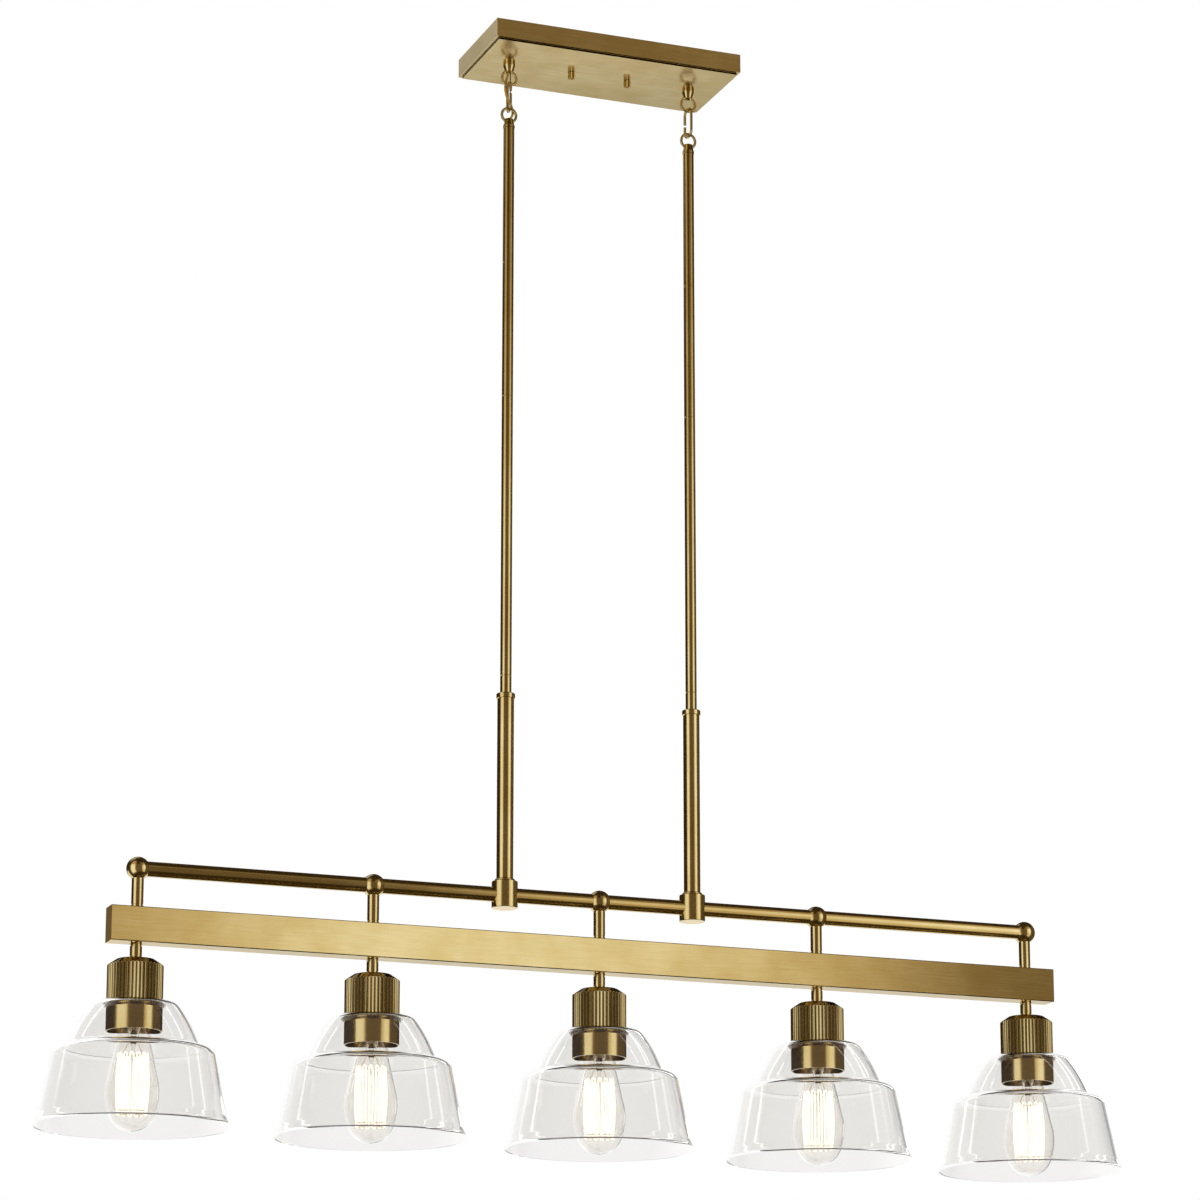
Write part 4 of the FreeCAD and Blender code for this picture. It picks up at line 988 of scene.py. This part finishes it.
def smooth_step(past: Points, width: float) -> Points:
    """Rise from nought to one across an edge, as 3t^2 - 2t^3.

    Args:
        past: distances past the edge's middle.
        width: half the width of the edge.

    Returns:
        The rise at each distance.
    """
    t = np.clip((past + width) / (2 * width), 0, 1)
    return t * t * (3 - 2 * t)


@dataclass(frozen=True)
class SoftPanel:
    """Lit patch of the studio wall, in degrees; azimuth 0 is the front, positive to the right."""

    azimuth: Pair
    elevation: Pair
    strength: float
    edges: Pair = (3.0, 3.0)  # half widths of the left and the right edge
    rise: float = 6.0  # half width of the upper and lower edges
    amber: bool = True  # whether its light turns amber where it is dim

    def shape(self, azimuth: Points, elevation: Points) -> Points:
        """How much of the panel lies in each direction: one inside, nought outside.

        Args:
            azimuth: directions' azimuths.
            elevation: their elevations.

        Returns:
            The share for each direction.
        """
        (left, right), (low, high) = self.azimuth, self.elevation
        middle = (left + right) / 2
        turned = (azimuth - middle + 180) % 360 - 180 + middle
        across = smooth_step(turned - left, self.edges[0]) * smooth_step(
            right - turned, self.edges[1])
        up = smooth_step(elevation - low, self.rise) * smooth_step(high - elevation, self.rise)
        return across * up

    @staticmethod
    def wall_light(panels: tuple[SoftPanel, ...], azimuth: Points, elevation: Points) -> Points:
        """Red, green and blue light that several panels throw on the wall.

        The amber panels' levels are added first, and the ramp gives their sum its colour.

        Args:
            panels: the panels.
            azimuth: directions' azimuths.
            elevation: their elevations.

        Returns:
            Three values for each direction.
        """
        level, neutral = (
            sum((p.strength * p.shape(azimuth, elevation) for p in panels if p.amber is kind),
                start=np.zeros_like(azimuth))
            for kind in (True, False))
        green = np.interp(level, AMBER_LEVELS, AMBER_GREENS)
        blue = np.interp(level, AMBER_LEVELS, AMBER_BLUES)
        return np.stack([level, green, blue], axis=-1) + neutral[..., None]


@dataclass
class Studio:
    """White room in metres: floor, reflected soft panels, lamps and the camera."""

    floor_z: float = -2.2
    floor_reach: float = 16.0
    floor_glow: float = 0.45
    room_light: float = 0.75  # the world's light on matt parts, which don't see it white
    wall_r: float = 3.0
    wall_low: float = -2.1
    wall_middle: float = -0.9
    wall_columns: int = 240
    wall_rows: int = 120
    dusk: Place = (0.04, 0.026, 0.012)  # light between the panels
    mirror_level: float = 0.15  # what clear glass mirrors between its strip lights
    panels: tuple[SoftPanel, ...] = (
        SoftPanel((17, 57), (-12, 27), 0.3, rise=8.0),
        SoftPanel((17, 57), (-38, 27), 0.48, rise=8.0),
        SoftPanel((31, 57), (-38, 27), 0.3, (6.0, 3.0)),
        SoftPanel((32, 57), (27, 48), 0.45),
        SoftPanel((-5, 29), (30, 48), 0.2),
        SoftPanel((-91, -50), (-38, 24), 0.55, (6.0, 6.0)),
        SoftPanel((-91, -50), (-38, 52), 0.45, (6.0, 6.0)),
        SoftPanel((-46, 12), (-38, 30), 0.1),
        SoftPanel((57, 120), (-38, 30), 0.07),
        SoftPanel((125, 235), (-40, -6.5), 1.0, (6.0, 6.0), 4.0, False),
        SoftPanel((-185, -125), (34, 62), 0.5, (6.0, 6.0), 5.0, False),
    )
    bar_panels: tuple[SoftPanel, ...] = (
        SoftPanel((3.0, 32.3), (-34, 40), 0.42, (12.0, 2.3)),
        SoftPanel((3.0, 26.5), (-34, 40), 0.45, (12.0, 8.5)),
        SoftPanel((3.0, 70), (-34, 40), 0.14, (12.0, 3.0)),
        SoftPanel((-185, -125), (-34, 40), 0.12),
        SoftPanel((125, 235), (-40, -6.5), 0.75, (6.0, 6.0), 4.0, False),
    )
    mirror_panels: tuple[SoftPanel, ...] = (
        SoftPanel((112, 248), (-60, 75), 0.85, (14.0, 14.0), 8.0, False),
        SoftPanel((63, 66), (12, 60), 4.0, (0.8, 0.8), 4.0, False),
        SoftPanel((95, 99), (12, 60), 4.0, (0.8, 0.8), 4.0, False),
        SoftPanel((-122, -118), (12, 60), 4.0, (0.8, 0.8), 4.0, False),
    )
    lamps: tuple[tuple[str, Place, float, float], ...] = (  # name, place, size and watts
        ("key_lamp", (-1.6, -2.4, 1.4), 2.4, 60.0),
        ("fill_lamp", (2.4, -2.0, 0.6), 2.0, 30.0),
    )
    lamp_aim: Place = (0, 0, -0.9)
    camera_place: Place = (-1.61606, -4.15603, -1.85319)
    camera_yaw: float = 21.259
    camera_pitch: float = 13.313
    camera_lens: float = 122.0
    camera_shift: float = 0.1

    def white_when_seen(self, tree: NodeTree) -> NodeSocket:
        """One for camera, glossy and transmission rays, nought for the rest.

        Args:
            tree: the node tree.

        Returns:
            The output that gives it.
        """
        rays = add_node(tree, "LightPath").outputs
        seen = rays["Is Camera Ray"]
        for kind in ("Is Glossy Ray", "Is Transmission Ray"):
            seen = add_node(tree, "Math", {0: seen, 1: rays[kind]}, operation="MAXIMUM").outputs[0]
        return seen

    def make_world(self) -> None:
        """White background where it is seen, a softer light elsewhere."""
        world = bpy.data.worlds.new("white_room")
        bpy.context.scene.world = world
        world.use_nodes = True
        tree = world.node_tree
        tree.nodes.clear()
        soft = add_node(tree, "Background", {0: "#F2F4F7", 1: self.room_light})
        white = add_node(tree, "Background", {0: (1, 1, 1, 1), 1: 1.0})
        both = add_node(tree, "MixShader", {0: self.white_when_seen(tree), 1: soft, 2: white})
        add_node(tree, "OutputWorld", {"Surface": both})
        world.cycles.sampling_method = "NONE"  # its light is even, and the wall keeps it off metal

    def make_floor(self) -> None:
        """Pale floor that keeps the fixture's shadow."""
        s, z = self.floor_reach, self.floor_z
        flat = np.array([(-s, -s, z), (s, -s, z), (s, s, z), (-s, s, z)])
        material, tree = blank_material("painted_floor")
        paint = add_node(tree, "BsdfDiffuse", {"Color": "#F4F4F3", "Roughness": 0.5})
        glow = add_node(tree, "Emission", {"Color": (1, 1, 1, 1), "Strength": self.floor_glow})
        lift = add_node(tree, "MixShader", {0: self.white_when_seen(tree), 2: glow})
        close_material(tree, add_node(tree, "AddShader", {0: paint, 1: lift}))
        make_piece("studio_floor", (flat, [(0, 1, 2, 3)]), material)

    def wall_cloth(self, name: str, sheer: bool) -> Material:
        """Cloth that shows metal the soft panels, and clear glass its own strip lights.

        Args:
            name: the material's name.
            sheer: whether rays go on through it to the wall behind.

        Returns:
            The material.
        """
        material, tree = blank_material(name)
        rays = add_node(tree, "LightPath").outputs
        mirror = add_node(tree, "Math", {
            0: rays["Is Singular Ray"], 1: rays["Is Reflection Ray"]}, operation="MULTIPLY")
        metal, glass = (
            add_node(tree, "Attribute", attribute_name=kept).outputs["Color"]
            for kept in ("panel_light", "mirror_light"))
        shown = add_node(tree, "Mix", {"Factor": mirror, 6: metal, 7: glass}, data_type="RGBA")
        shader = add_node(tree, "Emission", {"Color": shown.outputs[2], "Strength": 1.0})
        if sheer:
            clear = add_node(tree, "BsdfTransparent", {"Color": (1, 1, 1, 1)})
            shader = add_node(tree, "AddShader", {0: shader, 1: clear})
        close_material(tree, shader)
        material.cycles.emission_sampling = "NONE"
        return material

    def make_walls(
        self, name: str, kind: str, radius: float, panels: tuple[SoftPanel, ...],
        bar: list[Object],
    ) -> None:
        """Studio wall round the object, seen only in reflections.

        It is a sphere cut flat above the floor; each point's light is worked out from its
        direction and kept as an attribute of the mesh.

        Args:
            name: the wall's name.
            kind: INCLUDE for a wall that only the bar sees, EXCLUDE for one that it doesn't.
            radius: the sphere's radius.
            panels: the lit patches on it.
            bar: the bar's pieces.
        """
        rows, columns = self.wall_rows, self.wall_columns
        azimuth = np.linspace(-180, 180, columns, endpoint=False)[None, :] * np.ones((rows, 1))
        elevation = np.linspace(-90, 90, rows)[:, None] * np.ones((1, columns))
        a, e = np.radians(azimuth), np.radians(elevation)
        way = np.stack([np.sin(a) * np.cos(e), -np.cos(a) * np.cos(e), np.sin(e)], axis=-1)
        fall = np.minimum(way[..., 2], -1e-6)
        down = np.where(way[..., 2] < -1e-6, (self.wall_low - self.wall_middle) / fall, 1e9)
        middle = np.array([0, 0, self.wall_middle])
        points = (middle + way * np.minimum(radius, down)[..., None]).reshape(-1, 3)
        light = np.array(self.dusk) + SoftPanel.wall_light(panels, azimuth, elevation)
        mirrored = self.mirror_level + SoftPanel.wall_light(self.mirror_panels, azimuth, elevation)
        mesh = bpy.data.meshes.new(name)
        mesh.from_pydata(points.tolist(), [], grid_faces(rows, columns, False))
        for attribute, values in (("panel_light", light), ("mirror_light", mirrored)):
            colours = np.concatenate([values, np.ones((rows, columns, 1))], axis=-1)
            mesh.attributes.new(attribute, "FLOAT_COLOR", "POINT").data.foreach_set(
                "color", colours.ravel().astype(np.float32))
        mesh.materials.append(self.wall_cloth(name + "_cloth", kind == "INCLUDE"))
        walls = bpy.data.objects.new(name, mesh)
        bpy.context.scene.collection.objects.link(walls)
        lit = bpy.data.collections.new(name + "_pieces")
        for piece in bar:
            lit.objects.link(piece)
        for row in lit.collection_objects:
            row.light_linking.link_state = kind
        walls.light_linking.receiver_collection = lit
        for rays in ("camera", "diffuse", "transmission", "shadow", "volume_scatter"):
            setattr(walls, "visible_" + rays, False)

    def make_lamps(self) -> None:
        """Two broad lamps for the floor's shadow and the matt parts."""
        for name, place, size, power in self.lamps:
            light = bpy.data.lights.new(name, "AREA")
            light.energy = power
            light.size = size
            lamp = bpy.data.objects.new(name, light)
            lamp.location = place
            x, y, z = np.array(self.lamp_aim) - np.array(place)
            lamp.rotation_euler = (
                math.atan2(math.hypot(x, y), -z), 0.0, math.atan2(x, -y) + math.pi)
            lamp.visible_glossy = False
            lamp.visible_transmission = False
            bpy.context.scene.collection.objects.link(lamp)

    def make_camera(self) -> None:
        """Camera at the photograph's viewing angle."""
        lens = bpy.data.cameras.new("view")
        lens.lens = self.camera_lens
        lens.sensor_width = 36.0
        lens.sensor_fit = "HORIZONTAL"
        lens.shift_y = self.camera_shift
        lens.clip_end = 100.0
        camera = bpy.data.objects.new("view", lens)
        camera.location = self.camera_place
        camera.rotation_euler = (
            math.radians(90 + self.camera_pitch), 0.0, -math.radians(self.camera_yaw))
        bpy.context.scene.collection.objects.link(camera)
        bpy.context.scene.camera = camera

    def build(self, bar: list[Object]) -> None:
        """Make the room, the lamps and the camera.

        Args:
            bar: the bar's pieces.
        """
        self.make_world()
        self.make_floor()
        # The bar's long flat face has panels of its own, nearer than the wall for the rest.
        self.make_walls("bar_walls", "INCLUDE", self.wall_r - 0.05, self.bar_panels, bar)
        self.make_walls("studio_walls", "EXCLUDE", self.wall_r, self.panels, bar)
        self.make_lamps()
        self.make_camera()
        bpy.context.scene.view_settings.view_transform = "Standard"
        LOG.info("studio ready")


def main() -> None:
    """Load the frame, build the studio, cords, lamps and finishes."""
    logging.basicConfig(level=logging.INFO, format="%(message)s")
    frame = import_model()
    Studio().build([frame["nodes"][name] for name in FINISHED_NODES[Finish.BAR_BRASS]])
    for lead in LEADS:
        lead.build()
    for number, x in enumerate(LAMP_X, start=1):
        for part in (GlassShade, FilamentBulb, FlutedCap):
            part(number, x).build()
    Metalwork(frame["nodes"]).build()


if __name__ == "__main__":
    main()
